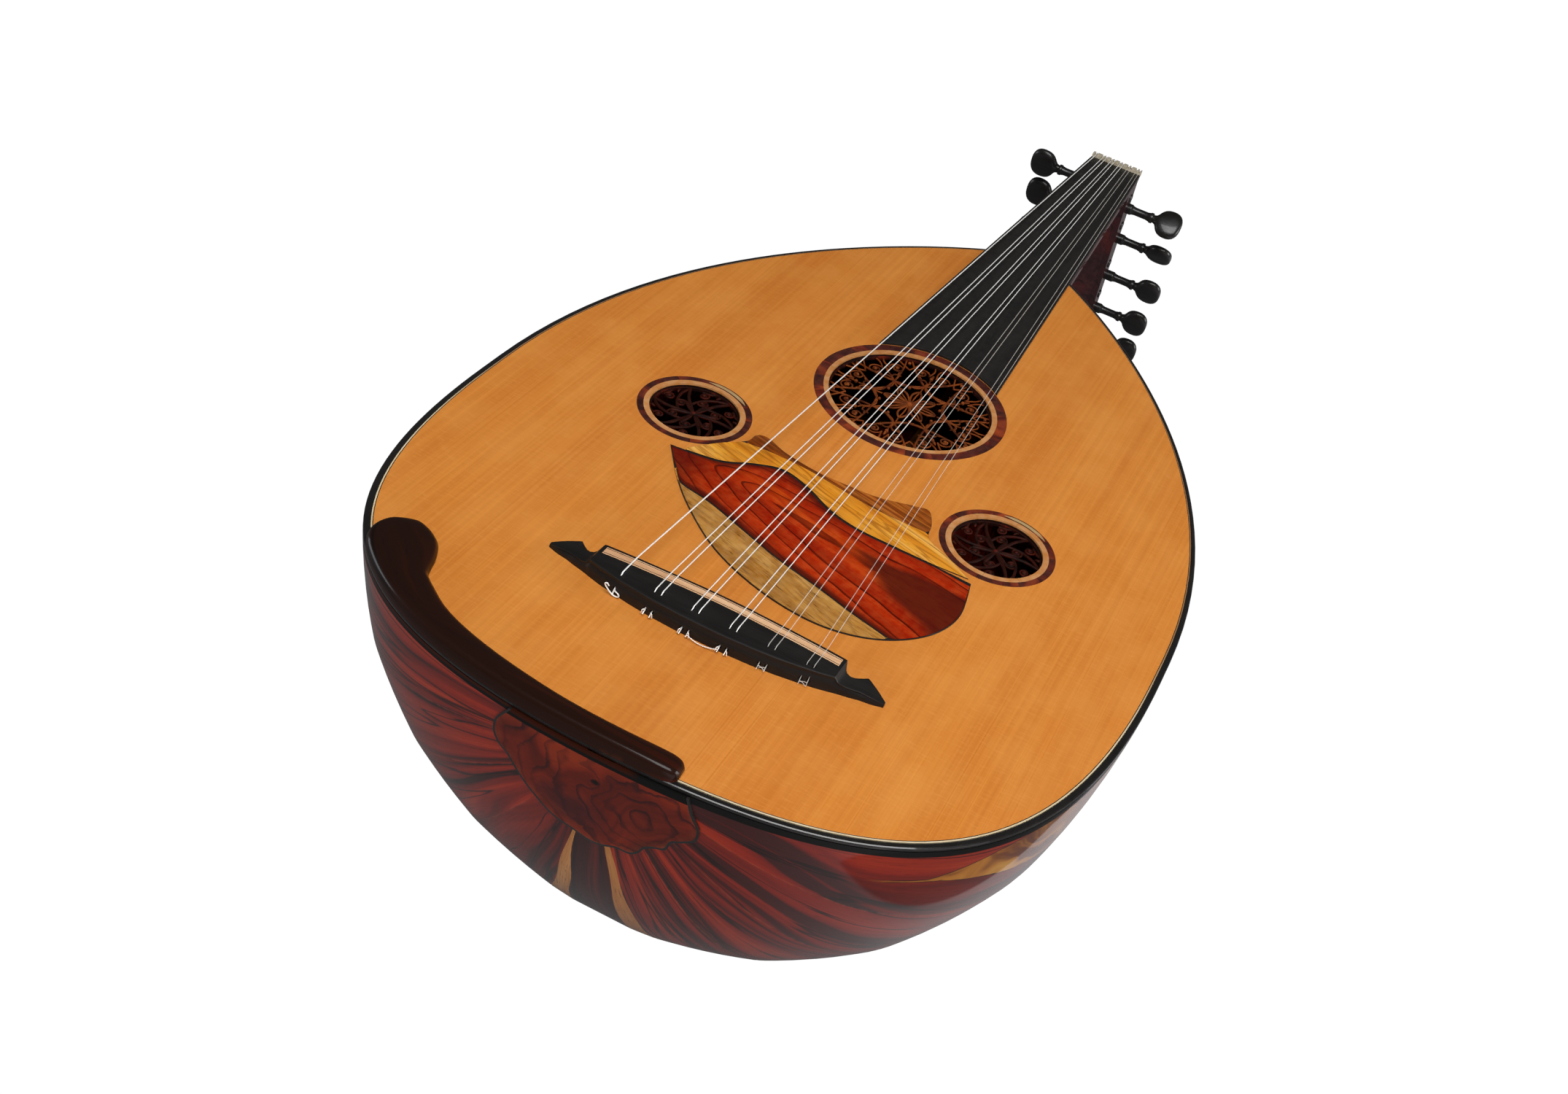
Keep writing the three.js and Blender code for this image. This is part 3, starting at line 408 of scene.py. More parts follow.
# One wood: its settings say how it is coloured, how its grain runs and how it is finished
woodDefaults = {"coat": 0.0, "coatRough": 0.06, "shine": 0.5, "turn": (0, 0, math.pi / 2), "wander": 0.4,
                "fibre": 900.0, "cloud": 0.3, "fibreTint": 0.25, "pores": 0, "smudge": 30.0, "edge": 0.4,
                "roughSpread": 0.08, "rippleDepth": 0.6, "fibreDepth": 0.15, "bump": 0.08, "rim": False,
                "veins": None, "rippleScale": 55.0, "poreDepth": 0.2}


def woodMaterial(name, settings, flow=False):
    wood = {**woodDefaults, **settings}
    material, tree, shader = startMaterial(name, wood["rough"], wood["coat"], wood["coatRough"],
                                           **{"Specular IOR Level": wood["shine"]})
    plain = framePlace(tree)
    where = flowPlace(tree) if flow else node(tree, "ShaderNodeMapping", {0: plain, 2: wood["turn"]}).outputs[0]
    grain = useGroup(grainGroup, Vector=where, Along=wood["along"], Across=wood["across"], Wander=wood["wander"],
                     Fibre=wood["fibre"])
    result = blend(times(grain["Cloud"], wood["cloud"]), ramp(grain["Bands"], wood["bands"]), wood["cloudColour"])
    result = blend(times(grain["Fibre"], wood["fibreTint"]), result, wood["fibreColour"])
    if wood["veins"]:
        veins = wood["veins"]
        lines = useGroup(veinGroup, Vector=where, Along=veins["along"], Across=veins["across"], Width=veins["width"],
                         Count=veins["count"])
        result = blend(times(lines["Vein"], veins["depth"]), result, veins["colour"])
    if wood["pores"]:
        result = blend(times(grain["Pores"], wood["pores"]), result, wood["poreColour"])
    wear = useGroup(wearGroup, Vector=plain, Scale=wood["smudge"], Edge=wood["edge"])
    result = blend(wear["Edge"], result, wood["wornColour"])
    if wood["rim"]:
        result = rimmed(shader, result, wood["coat"])
    feed(result, shader.inputs["Base Color"])
    rough = plus(times(wear["Smudge"], wood["roughSpread"]), wood["rough"] - 0.03)
    feed(plus(rough, times(grain["Fibre"], 0.05)), shader.inputs["Roughness"])
    ripple = useGroup(rippleGroup, Vector=plain, Scale=wood["rippleScale"], Depth=wood["rippleDepth"])
    height = plus(ripple["Height"], times(grain["Fibre"], wood["fibreDepth"]))
    applyBump(shader, minus(height, times(grain["Pores"], wood["poreDepth"])), wood["bump"])
    return material, tree, shader, result


def woodFinish(name, settings, flow=False):
    return woodMaterial(name, settings, flow)[0]


# Woods and other finishes of the instrument
spruce = {"rough": 0.45, "shine": 0.25, "coat": 0.25, "coatRough": 0.2, "along": 3.0, "across": 420.0,
          "wander": 0.25, "fibre": 1500.0,
          "bands": [(0.0, (0.58, 0.19, 0.026)), (0.45, (0.64, 0.221, 0.032)), (0.8, (0.69, 0.25, 0.039)),
                    (1.0, (0.56, 0.178, 0.022))],
          "cloud": 0.2, "cloudColour": (0.72, 0.265, 0.045), "fibreTint": 0.35, "fibreColour": (0.51, 0.146, 0.015),
          "edge": 0.1, "wornColour": (0.8, 0.38, 0.1), "smudge": 9.0, "roughSpread": 0.1, "bump": 0.06,
          "fibreDepth": 0.6, "rippleDepth": 0.3}
rosewood = {"rim": True, "rough": 0.34, "shine": 0.12, "coat": 1.0, "coatRough": 0.03, "along": 4.5, "across": 50.0,
            "wander": 0.6, "fibre": 700.0,
            "bands": [(0.0, (0.008, 0.004, 0.005)), (0.26, (0.018, 0.005, 0.005)), (0.36, (0.125, 0.0085, 0.0045)),
                      (0.55, (0.235, 0.015, 0.0058)), (0.82, (0.365, 0.032, 0.008)), (1.0, (0.46, 0.062, 0.011))],
            "cloud": 0.35, "cloudColour": (0.075, 0.008, 0.006), "fibreTint": 0.35,
            "fibreColour": (0.06, 0.007, 0.005),
            "veins": {"along": 5.0, "across": 62.0, "width": 0.022, "count": 0.9, "depth": 0.9,
                      "colour": (0.008, 0.003, 0.003)},
            "pores": 0.5, "poreColour": (0.02, 0.004, 0.003), "edge": 0.25, "wornColour": (0.38, 0.09, 0.04),
            "bump": 0.03, "rippleDepth": 0.3, "smudge": 14.0, "roughSpread": 0.06}
darkRib = {**rosewood,
           "bands": [(0.0, (0.01, 0.004, 0.005)), (0.55, (0.02, 0.006, 0.006)), (0.7, (0.075, 0.009, 0.006)),
                     (1.0, (0.17, 0.018, 0.008))]}
paleRib = {"rough": 0.34, "shine": 0.12, "coat": 1.0, "coatRough": 0.04, "along": 9.0, "across": 120.0,
           "wander": 0.4, "fibre": 1200.0,
           "bands": [(0.0, (0.36, 0.135, 0.034)), (0.5, (0.47, 0.2, 0.056)), (1.0, (0.58, 0.28, 0.095))],
           "cloud": 0.4, "cloudColour": (0.4, 0.16, 0.045), "fibreTint": 0.55, "fibreColour": (0.2, 0.062, 0.014),
           "pores": 1.0, "poreColour": (0.1, 0.03, 0.008), "edge": 0.2, "wornColour": (0.62, 0.36, 0.18),
           "bump": 0.04}
ebony = {"rough": 0.36, "shine": 0.3, "coat": 0.2, "coatRough": 0.15, "along": 6.0, "across": 160.0, "wander": 0.3,
         "fibre": 1500.0,
         "bands": [(0.0, (0.0055, 0.0052, 0.005)), (0.6, (0.0085, 0.008, 0.0077)), (1.0, (0.014, 0.0125, 0.0118))],
         "cloud": 0.4, "cloudColour": (0.006, 0.0055, 0.0055), "fibreTint": 0.4,
         "fibreColour": (0.018, 0.016, 0.0145), "pores": 0.4, "poreColour": (0.003, 0.003, 0.003), "edge": 0.4,
         "wornColour": (0.05, 0.044, 0.038), "smudge": 45.0, "roughSpread": 0.14, "bump": 0.07, "fibreDepth": 0.35}
blackEdge = {**ebony, "rough": 0.22, "coat": 0.8, "coatRough": 0.05, "edge": 0.25, "roughSpread": 0.08}
creamMaple = {"rough": 0.4, "shine": 0.2, "coat": 0.25, "coatRough": 0.15, "along": 8.0, "across": 300.0,
              "wander": 0.3, "fibre": 2200.0,
              "bands": [(0.0, (0.45, 0.17, 0.042)), (0.5, (0.51, 0.205, 0.055)), (1.0, (0.57, 0.25, 0.075))],
              "cloud": 0.3, "cloudColour": (0.47, 0.18, 0.045), "fibreTint": 0.3,
              "fibreColour": (0.44, 0.155, 0.038), "edge": 0.2, "wornColour": (0.8, 0.58, 0.34), "bump": 0.05}
lineMaple = {**creamMaple,
             "bands": [(0.0, (0.56, 0.45, 0.28)), (0.5, (0.68, 0.57, 0.37)), (1.0, (0.76, 0.67, 0.49))],
             "cloudColour": (0.66, 0.54, 0.34), "fibreColour": (0.5, 0.38, 0.22)}
bridgeMaple = {**creamMaple, "rough": 0.5, "coat": 0.1, "turn": (0, 0, 0), "along": 14.0, "across": 420.0,
               "fibre": 2000.0,
               "bands": [(0.0, (0.54, 0.28, 0.14)), (0.5, (0.74, 0.45, 0.25)), (1.0, (0.86, 0.6, 0.37))],
               "cloudColour": (0.74, 0.42, 0.21), "fibreColour": (0.44, 0.2, 0.09), "fibreTint": 0.4, "pores": 0.5,
               "poreColour": (0.2, 0.09, 0.05), "wornColour": (0.7, 0.5, 0.36)}
ringWood = {"rough": 0.3, "shine": 0.12, "coat": 0.48, "coatRough": 0.08, "along": 40.0, "across": 60.0,
            "wander": 0.6, "fibre": 900.0,
            "bands": [(0.0, (0.018, 0.0055, 0.005)), (0.45, (0.045, 0.009, 0.007)), (0.62, (0.14, 0.016, 0.007)),
                      (0.85, (0.4, 0.06, 0.012)), (1.0, (0.5, 0.1, 0.02))],
            "cloud": 0.45, "cloudColour": (0.034, 0.009, 0.01), "fibreTint": 0.3,
            "fibreColour": (0.024, 0.006, 0.006), "pores": 0.5, "poreColour": (0.01, 0.003, 0.003), "edge": 0.2,
            "wornColour": (0.25, 0.07, 0.04), "bump": 0.05}
vineWood = {"rough": 0.5, "shine": 0.1, "along": 60.0, "across": 120.0, "wander": 0.5, "fibre": 1600.0,
            "bands": [(0.0, (0.024, 0.005, 0.002)), (0.45, (0.08, 0.015, 0.003)), (0.75, (0.22, 0.045, 0.007)),
                      (1.0, (0.46, 0.115, 0.016))],
            "cloud": 0.35, "cloudColour": (0.07, 0.016, 0.006), "fibreTint": 0.3,
            "fibreColour": (0.05, 0.011, 0.005), "edge": 0.5, "wornColour": (0.46, 0.12, 0.022), "bump": 0.12,
            "smudge": 60.0, "roughSpread": 0.15}
smallVineWood = {**vineWood, "rough": 0.4, "shine": 0.08,
                 "bands": [(0.0, (0.005, 0.002, 0.0016)), (0.48, (0.013, 0.0038, 0.0025)),
                           (0.68, (0.06, 0.0065, 0.003)), (1.0, (0.19, 0.018, 0.006))],
                 "cloudColour": (0.01, 0.0035, 0.003), "fibreColour": (0.006, 0.003, 0.002),
                 "wornColour": (0.09, 0.013, 0.006)}
neckWood = {"rough": 0.3, "shine": 0.15, "coat": 0.9, "coatRough": 0.06, "along": 7.0, "across": 60.0,
            "wander": 0.4, "fibre": 900.0,
            "bands": [(0.0, (0.02, 0.007, 0.01)), (0.45, (0.06, 0.011, 0.014)), (0.75, (0.14, 0.014, 0.012)),
                      (1.0, (0.24, 0.02, 0.01))],
            "cloud": 0.5, "cloudColour": (0.04, 0.01, 0.016), "fibreTint": 0.3,
            "fibreColour": (0.012, 0.005, 0.006),
            "veins": {"along": 4.0, "across": 55.0, "width": 0.02, "count": 0.7, "depth": 0.8,
                      "colour": (0.008, 0.003, 0.004)},
            "pores": 0.5, "poreColour": (0.008, 0.003, 0.003), "edge": 0.3, "wornColour": (0.17, 0.05, 0.045),
            "bump": 0.05}
boxWood = {**neckWood, "turn": (math.radians(20), math.pi / 2, 0)}
armWood = {**neckWood, "rough": 0.34, "shine": 0.05, "coat": 0.36, "coatRough": 0.14, "turn": (0, 0, 0.25),
           "along": 6.0, "across": 90.0,
           "bands": [(0.0, (0.0085, 0.0036, 0.002)), (0.5, (0.018, 0.0055, 0.0025)), (0.74, (0.058, 0.009, 0.003)),
                     (1.0, (0.18, 0.021, 0.0045))],
           "cloud": 0.5, "cloudColour": (0.012, 0.0045, 0.0025), "wornColour": (0.14, 0.03, 0.012), "edge": 0.15,
           "veins": {"along": 4.0, "across": 55.0, "width": 0.02, "count": 0.7, "depth": 0.8,
                     "colour": (0.004, 0.002, 0.0015)}}
burlWood = {"rough": 0.32, "shine": 0.06, "coat": 0.6, "coatRough": 0.05, "along": 26.0, "across": 44.0,
            "wander": 0.7, "fibre": 900.0,
            "bands": [(0.0, (0.03, 0.006, 0.005)), (0.33, (0.085, 0.0095, 0.005)), (0.6, (0.15, 0.015, 0.006)),
                      (1.0, (0.24, 0.032, 0.008))],
            "cloud": 0.4, "cloudColour": (0.04, 0.009, 0.007), "fibreTint": 0.3,
            "fibreColour": (0.05, 0.008, 0.005), "pores": 0.3, "poreColour": (0.03, 0.006, 0.005), "edge": 0.2,
            "wornColour": (0.3, 0.09, 0.04), "bump": 0.04}
heartwood = {"rough": 0.3, "shine": 0.02, "coat": 0.1, "coatRough": 0.05, "turn": (0, 0, 0.24), "along": 8.0,
             "across": 70.0, "wander": 0.6, "fibre": 1300.0,
             "bands": [(0.0, (0.26, 0.009, 0.0015)), (0.35, (0.42, 0.018, 0.002)), (0.65, (0.56, 0.038, 0.003)),
                       (1.0, (0.76, 0.1, 0.007))],
             "cloud": 0.4, "cloudColour": (0.2, 0.008, 0.0015), "fibreTint": 0.45,
             "fibreColour": (0.16, 0.007, 0.0015), "pores": 0.6, "poreColour": (0.06, 0.004, 0.0015), "edge": 0.2,
             "wornColour": (0.7, 0.14, 0.03), "bump": 0.03}
tanWood = {"rough": 0.36, "shine": 0.04, "coat": 0.12, "coatRough": 0.08, "turn": (0, 0, 0.32), "along": 16.0,
           "across": 130.0, "wander": 0.9, "fibre": 900.0,
           "bands": [(0.0, (0.27, 0.105, 0.017)), (0.35, (0.48, 0.21, 0.036)), (0.68, (0.66, 0.34, 0.075)),
                     (1.0, (0.78, 0.5, 0.17))],
           "cloud": 0.7, "cloudColour": (0.36, 0.155, 0.028), "fibreTint": 0.6, "fibreColour": (0.27, 0.1, 0.015),
           "veins": {"along": 40.0, "across": 260.0, "width": 0.05, "count": 0.8, "depth": 0.35,
                     "colour": (0.13, 0.04, 0.007)},
           "pores": 1.0, "poreColour": (0.08, 0.024, 0.005), "edge": 0.2, "wornColour": (0.7, 0.45, 0.18),
           "bump": 0.04}
yellowWood = {**tanWood, "turn": (0, 0, 0.3), "along": 12.0, "across": 110.0,
              "bands": [(0.0, (0.5, 0.155, 0.01)), (0.3, (0.74, 0.29, 0.018)), (0.65, (0.88, 0.45, 0.055)),
                        (1.0, (0.97, 0.68, 0.22))],
              "cloud": 0.55, "cloudColour": (0.66, 0.23, 0.013), "fibreTint": 0.55,
              "fibreColour": (0.5, 0.155, 0.01), "pores": 0.8, "poreColour": (0.24, 0.065, 0.005),
              "veins": {"along": 10.0, "across": 120.0, "width": 0.05, "count": 1.3, "depth": 0.6,
                        "colour": (0.26, 0.07, 0.007)}}
brownWood = {**tanWood, "turn": (0, 0, 0.24), "along": 9.0, "across": 300.0, "pores": 0.5,
             "bands": [(0.0, (0.1, 0.015, 0.002)), (0.4, (0.32, 0.07, 0.007)), (0.7, (0.5, 0.135, 0.015)),
                       (1.0, (0.7, 0.26, 0.04))],
             "cloud": 0.35, "cloudColour": (0.28, 0.06, 0.006), "fibreColour": (0.14, 0.026, 0.003),
             "poreColour": (0.05, 0.012, 0.003),
             "veins": {"along": 8.0, "across": 260.0, "width": 0.05, "count": 0.9, "depth": 0.65,
                       "colour": (0.055, 0.01, 0.002)}}
rawWood = {"rough": 0.75, "along": 6.0, "across": 240.0, "wander": 0.3, "fibre": 1300.0,
           "bands": [(0.0, (0.46, 0.28, 0.12)), (0.5, (0.56, 0.36, 0.17)), (1.0, (0.62, 0.42, 0.22))], "cloud": 0.4,
           "cloudColour": (0.5, 0.31, 0.14), "fibreTint": 0.3, "fibreColour": (0.4, 0.23, 0.09), "edge": 0.2,
           "wornColour": (0.66, 0.48, 0.28), "bump": 0.15, "fibreDepth": 0.6}


# Body outline in plan: a tail arc, a short straight flank and a shoulder down to the neck
bodyPlan = {"tail": -98.3, "half": 174.1, "flankLow": 83.6, "joint": 400.0, "bowl": 173.0, "board": 2.0,
            "wall": 3.0, "tailStations": 44, "shoulderStations": 40, "narrowed": 0.6, "narrowEnd": 350}
tailHandles = [Vector((0, -98.3)), Vector((135.1, -98.3)), Vector((174.1, -43.184)), Vector((174.1, 83.6))]
shoulderHandles = [Vector((174.1, 99.6)), Vector((174.1, 289.453)), Vector((27.5, 400)), Vector((27.5, 400))]


def alongBezier(handles, t):
    a, b, c, d = handles
    return a * (1 - t) ** 3 + b * 3 * t * (1 - t) ** 2 + c * 3 * t * t * (1 - t) + d * t ** 3


def station(handles, t):  # a place on the outline and its outward direction
    a, b, c, d = handles
    run = (b - a) * (1 - t) ** 2 + (c - b) * 2 * t * (1 - t) + (d - c) * t * t
    if run.length < 1e-3:
        run = d - b
    return alongBezier(handles, t), Vector((run.y, -run.x)).normalized()


def insetFrom(place, depth):
    spot, outward = place
    if spot.y >= bodyPlan["joint"] - 1e-3:
        return Vector((spot.x - depth / outward.x, spot.y))
    return spot - outward * depth


halfOutline = [station(tailHandles, t) for t in [0.015, *spread(0.035, 1.0, bodyPlan["tailStations"])]]
halfOutline += [station(shoulderHandles, t) for t in spread(0.0, 1.0, bodyPlan["shoulderStations"])]


def bandTaper(y):  # the lines along the edge narrow towards the neck
    return mix(1.0, bodyPlan["narrowed"], min(max(y / bodyPlan["narrowEnd"], 0.0), 1.0))


def planLine(depth):  # from the bass side of the neck joint, round the tail, to the treble side
    half = [insetFrom(place, depth * bandTaper(place[0].y)) for place in halfOutline]
    return [(-p.x, p.y) for p in reversed(half)] + [(0, bodyPlan["tail"] + depth)] + [(p.x, p.y) for p in half]


def bowlPoint(p, degrees):  # a plan point turned down about the long axis, in millimetres
    angle = math.radians(degrees)
    return Vector((-p.x * math.cos(angle), p.y,
                   -bodyPlan["board"] - bodyPlan["bowl"] / bodyPlan["half"] * p.x * math.sin(angle)))


# Bowl: eleven bent ribs, a pale one on each side of the middle one
ribSetup = {"edges": [0, 19.5, 39, 58.5, 78, 84, 96, 102, 121.5, 141, 160.5, 180], "pale": [4, 6], "crown": 0.6,
            "steps": 8, "seam": 0.14, "grainWidth": 0.13, "grainShift": (0.37, 0.11), "wave": 0.35, "waveEnd": 150,
            "cuts": {4: [(46, 81.6), (63, 81.0), (85, 80.9), (150, 78)],
                     5: [(46, 83.4), (63, 83.9), (85, 84.8), (150, 84)],
                     6: [(46, 98.8), (63, 98.9), (85, 98.4), (150, 96)],
                     7: [(46, 101.0), (63, 102.5), (85, 102.6), (150, 102)]}}


def ribEdge(order, x):  # the pale ribs narrow towards the tail, along slightly wavy cuts
    cuts = ribSetup["cuts"].get(order)
    if not cuts:
        return ribSetup["edges"][order]
    x = min(max(x, cuts[0][0]), cuts[-1][0])
    low, high = next((a, b) for a, b in zip(cuts, cuts[1:]) if x <= b[0])
    wave = ribSetup["wave"] * math.sin(x * 0.13 + order * 1.9) * min((ribSetup["waveEnd"] - x) / 50, 1.0)
    return mix(low[1], high[1], (x - low[0]) / (high[0] - low[0])) + wave


def ribMesh(index):
    crown = 0.0 if index == 5 else ribSetup["crown"]
    shares = [0.0, 0.025, *spread(0.13, 0.87, ribSetup["steps"] - 3), 0.975, 1.0]
    rings, flow, run, last = [], [], 0.0, None
    alongShift, acrossShift = ribSetup["grainShift"]
    for place in halfOutline:
        outer, inner = insetFrom(place, 0), insetFrom(place, bodyPlan["wall"])
        run += (outer - last).length / 1000 if last else 0.0
        last = outer
        back = place[0].y > bodyPlan["flankLow"]
        low, high = (ribSetup["edges"][k] if back else ribEdge(k, outer.x) for k in (index, index + 1))
        ring = []
        for p, line in ((outer, shares), (inner, list(reversed(shares)))):
            a, b = bowlPoint(p, low), bowlPoint(p, high)
            for t in line:
                spot = a.lerp(b, t).lerp(bowlPoint(p, mix(low, high, t)), crown)
                if p is outer and t in (0.0, 1.0):
                    middle = Vector((0, spot.y, -bodyPlan["board"]))
                    spot = spot + (middle - spot).normalized() * min(ribSetup["seam"], outer.x * 0.01)
                ring.append(at(*spot))
                across = math.radians(mix(low, high, t)) * ribSetup["grainWidth"]
                flow.append((run + index * alongShift, across + index * acrossShift))
        rings.append(ring)
    return loft(rings, sharp=50, flow=flow)


ribDark = woodFinish("ribRosewood", rosewood, flow=True)
ribMiddle = woodFinish("ribDarkRosewood", darkRib, flow=True)
ribPale = woodFinish("ribPaleWood", paleRib, flow=True)


def sapwoodMaterial():  # the last rib keeps a widening streak of yellow sapwood, with jagged brown flames
    sap = {"topFrom": -0.0639, "topKnee": -0.044, "topTo": -0.018, "topFall": 0.0106, "kneeFall": 0.0066,
           "lowFrom": -0.06, "lowTo": 0.0, "lowDeep": (0.0185, 0.037), "start": (-0.078, -0.071),
           "endFrom": 0.02, "endTo": 0.085, "line": 0.0005, "edge": (0.02, 0.007, 0.005),
           "bands": [(0.0, (0.055, 0.01, 0.003)), (0.34, (0.13, 0.032, 0.005)), (0.56, (0.34, 0.125, 0.014)),
                     (1.0, (0.52, 0.25, 0.036))]}
    material, tree, shader, result = woodMaterial("ribSapwood", rosewood, flow=True)
    _, length, height = split(framePlace(tree))
    where = flowPlace(tree)
    jag = minus(noise(stretched(where, (30.0, 260.0, 1.0)), detail=3.0, rough=0.6), 0.5)
    y, depth = minus(length, bridgeLine), minus(boardTop - 0.002, height)
    upper = plus(between(y, sap["topFrom"], sap["topKnee"], sap["topFall"], 0.0),
                 between(y, sap["topKnee"], sap["topTo"], sap["kneeFall"], -0.001))
    closing = between(plus(y, times(jag, 0.09)), sap["endFrom"], sap["endTo"], 0.0, 0.045)
    lower = minus(between(y, sap["lowFrom"], sap["lowTo"], *sap["lowDeep"]), closing)
    fromTop = minus(plus(depth, times(jag, 0.0012)), upper)
    fromLow = minus(lower, plus(depth, times(jag, 0.004)))
    inside = maths("MINIMUM", fromTop, fromLow)
    edge = between(maths("ABSOLUTE", inside), sap["line"], sap["line"] * 0.3)
    grain = useGroup(grainGroup, Vector=where, Along=24.0, Across=95.0, Wander=0.9, Fibre=1300.0)
    begun = between(y, *sap["start"])
    joined = blend(times(between(inside, 0.0, 0.0003), begun), result, ramp(grain["Bands"], sap["bands"]))
    joined = blend(times(edge, times(begun, 0.85)), joined, sap["edge"])
    feed(rimmed(shader, joined, rosewood["coat"]), shader.inputs["Base Color"])
    return material


ribSap = sapwoodMaterial()
for index in range(11):
    pale = index in ribSetup["pale"]
    finish = ribPale if pale else ribSap if index == 10 else ribMiddle if index == 5 else ribDark
    addPiece(f"bowlRib{index + 1}", ribMesh(index), finish, "rib_light" if pale else "rib_dark",
             f"rib_{index + 1:02d}")
print("bowl ready")

# Soundboard with three round openings, and the lines along its edge
boardSetup = {"binding": 3.1, "cream": 0.62, "dark": 0.35, "rounding": 0.7}
soundHoles = {"main": {"x": 0.0, "y": 211.0, "ring": 50.9, "light": 45.8, "hole": 43.1, "pieces": 26},
              "bass": {"x": -80.4, "y": 125.0, "ring": 28.1, "light": 24.9, "hole": 22.1, "pieces": 16},
              "treble": {"x": 80.4, "y": 125.0, "ring": 28.1, "light": 24.9, "hole": 22.1, "pieces": 16}}


def bandLine(near, far):  # a closed band along the outline, open at the neck
    return planLine(near) + list(reversed(planLine(far)))


boardEdge = boardSetup["binding"] + boardSetup["cream"] + boardSetup["dark"]


def soundboardMaterial():  # straight fine grain with broad warm streaks, silk across it and a mottled varnish
    streak = {"broad": (1.4, 24.0), "silk": (900.0, 170.0), "mottle": 26.0, "deep": (0.5, 0.135, 0.014),
              "pale": (0.8, 0.36, 0.085)}
    material, tree, shader, shaded = woodMaterial("soundboardSpruce", spruce)
    x, y, _ = split(framePlace(tree))

    def figure(alongY, acrossX, detail):
        return noise(join(times(x, acrossX), times(y, alongY)), detail=detail, rough=0.55)

    alongBroad, acrossBroad = streak["broad"]
    for mask, share, colour in (
            (between(figure(alongBroad, acrossBroad, 3.0), 0.42, 0.68, smooth=True), 0.34, "deep"),
            (between(figure(alongBroad, acrossBroad * 7, 2.0), 0.56, 0.74, smooth=True), 0.36, "deep"),
            (between(figure(streak["mottle"], streak["mottle"] * 1.4, 3.0), 0.35, 0.7, smooth=True), 0.22, "pale"),
            (between(figure(*streak["silk"], 2.0), 0.5, 0.78), 0.25, "pale")):
        shaded = blend(times(mask, share), shaded, streak[colour])
    feed(shaded, shader.inputs["Base Color"])
    return material


topWood = soundboardMaterial()
openings = [circle(hole["ring"], 128, hole["x"], hole["y"]) for hole in soundHoles.values()]
addPiece("soundboardPlate", flatPlate(planLine(boardEdge), openings, -bodyPlan["board"], 0.0, 0.05), topWood,
         "soundboard", "soundboard")
edgeBlack = woodFinish("edgeEbony", blackEdge)
edgeCream, lineTree, lineShader, lineColour = woodMaterial("lineMaple", lineMaple)
darkerTowardsNeck = between(split(framePlace(lineTree))[1], bridgeLine + 0.02, bridgeLine + 0.12, 0.0, 0.85, smooth=True)
feed(blend(darkerTowardsNeck, lineColour, (0.2, 0.075, 0.018)), lineShader.inputs["Base Color"])  # darker towards the neck
creamEnd = boardSetup["binding"] + boardSetup["cream"]
for name, near, far, rounding, finish, slot, replaced in (
        ("edgeBinding", 0, boardSetup["binding"], boardSetup["rounding"], edgeBlack, "black_wood", "edge_binding"),
        ("creamLine", boardSetup["binding"], creamEnd, 0.05, edgeCream, "strip_wood", "soundboard"),
        ("darkLine", creamEnd, boardEdge, 0.05, edgeBlack, "black_wood", "soundboard")):
    addPiece(name, flatPlate(bandLine(near, far), [], -bodyPlan["board"], 0.0, rounding), finish, slot, replaced)
print("soundboard ready")


# Ring inlays, each joined from short bent pieces with their own grain
def jointedRing(hole, inner, outer, pieces, seed):
    joint = {"gap": 0.05, "uneven": 0.13, "steps": 8, "alongShift": 0.173, "acrossShift": 0.057}
    points, faces, flow = [], [], []
    step, low = 2 * math.pi / pieces, -bodyPlan["board"]

    def jointTurn(k, lean):
        return (k + joint["uneven"] * math.sin(k % pieces * 2.3 + seed)) * step + lean

    for k in range(pieces):
        first = len(points)
        lean = joint["gap"] / outer
        angles = spread(jointTurn(k, lean), jointTurn(k + 1, -lean), joint["steps"] + 1)
        for angle in angles:
            c, s = math.cos(angle), math.sin(angle)
            for radius, z in ((inner, 0.0), (outer, 0.0), (outer, low), (inner, low)):
                points.append(at(hole["x"] + radius * c, hole["y"] + radius * s, z))
                flow.append(((angle - angles[0]) * radius / 1000 + k * joint["alongShift"] + seed,
                             (radius - inner - z) / 1000 + k * joint["acrossShift"]))
        for i in range(first, first + 4 * joint["steps"], 4):
            faces += [(i + j, i + (j + 1) % 4, i + 4 + (j + 1) % 4, i + 4 + j) for j in range(4)]
        last = first + 4 * joint["steps"]
        faces += [tuple(range(first, first + 4)), tuple(range(last + 3, last - 1, -1))]
    return meshOf(points, faces, 30, flow)


ringDark = woodFinish("ringPieces", ringWood, flow=True)
ringLight, ringTree, ringShader, ringColour = woodMaterial("ringMaple", creamMaple, flow=True)
wallShade = between(split(framePlace(ringTree))[2], boardTop - 0.0009, boardTop - 0.0011)  # painted shade on the lower half of its wall, down inside the opening
feed(blend(wallShade, ringColour, (0.012, 0.004, 0.003)), ringShader.inputs["Base Color"])
for order, (name, hole) in enumerate(soundHoles.items()):
    dark = jointedRing(hole, hole["light"], hole["ring"], hole["pieces"], order * 1.7)
    light = jointedRing(hole, hole["hole"], hole["light"], 8, order * 2.9)
    addPiece(f"ringDark_{name}", dark, ringDark, "ring_wood", f"ring_{name}")
    addPiece(f"ringLight_{name}", light, ringLight, "strip_wood", f"ring_{name}")
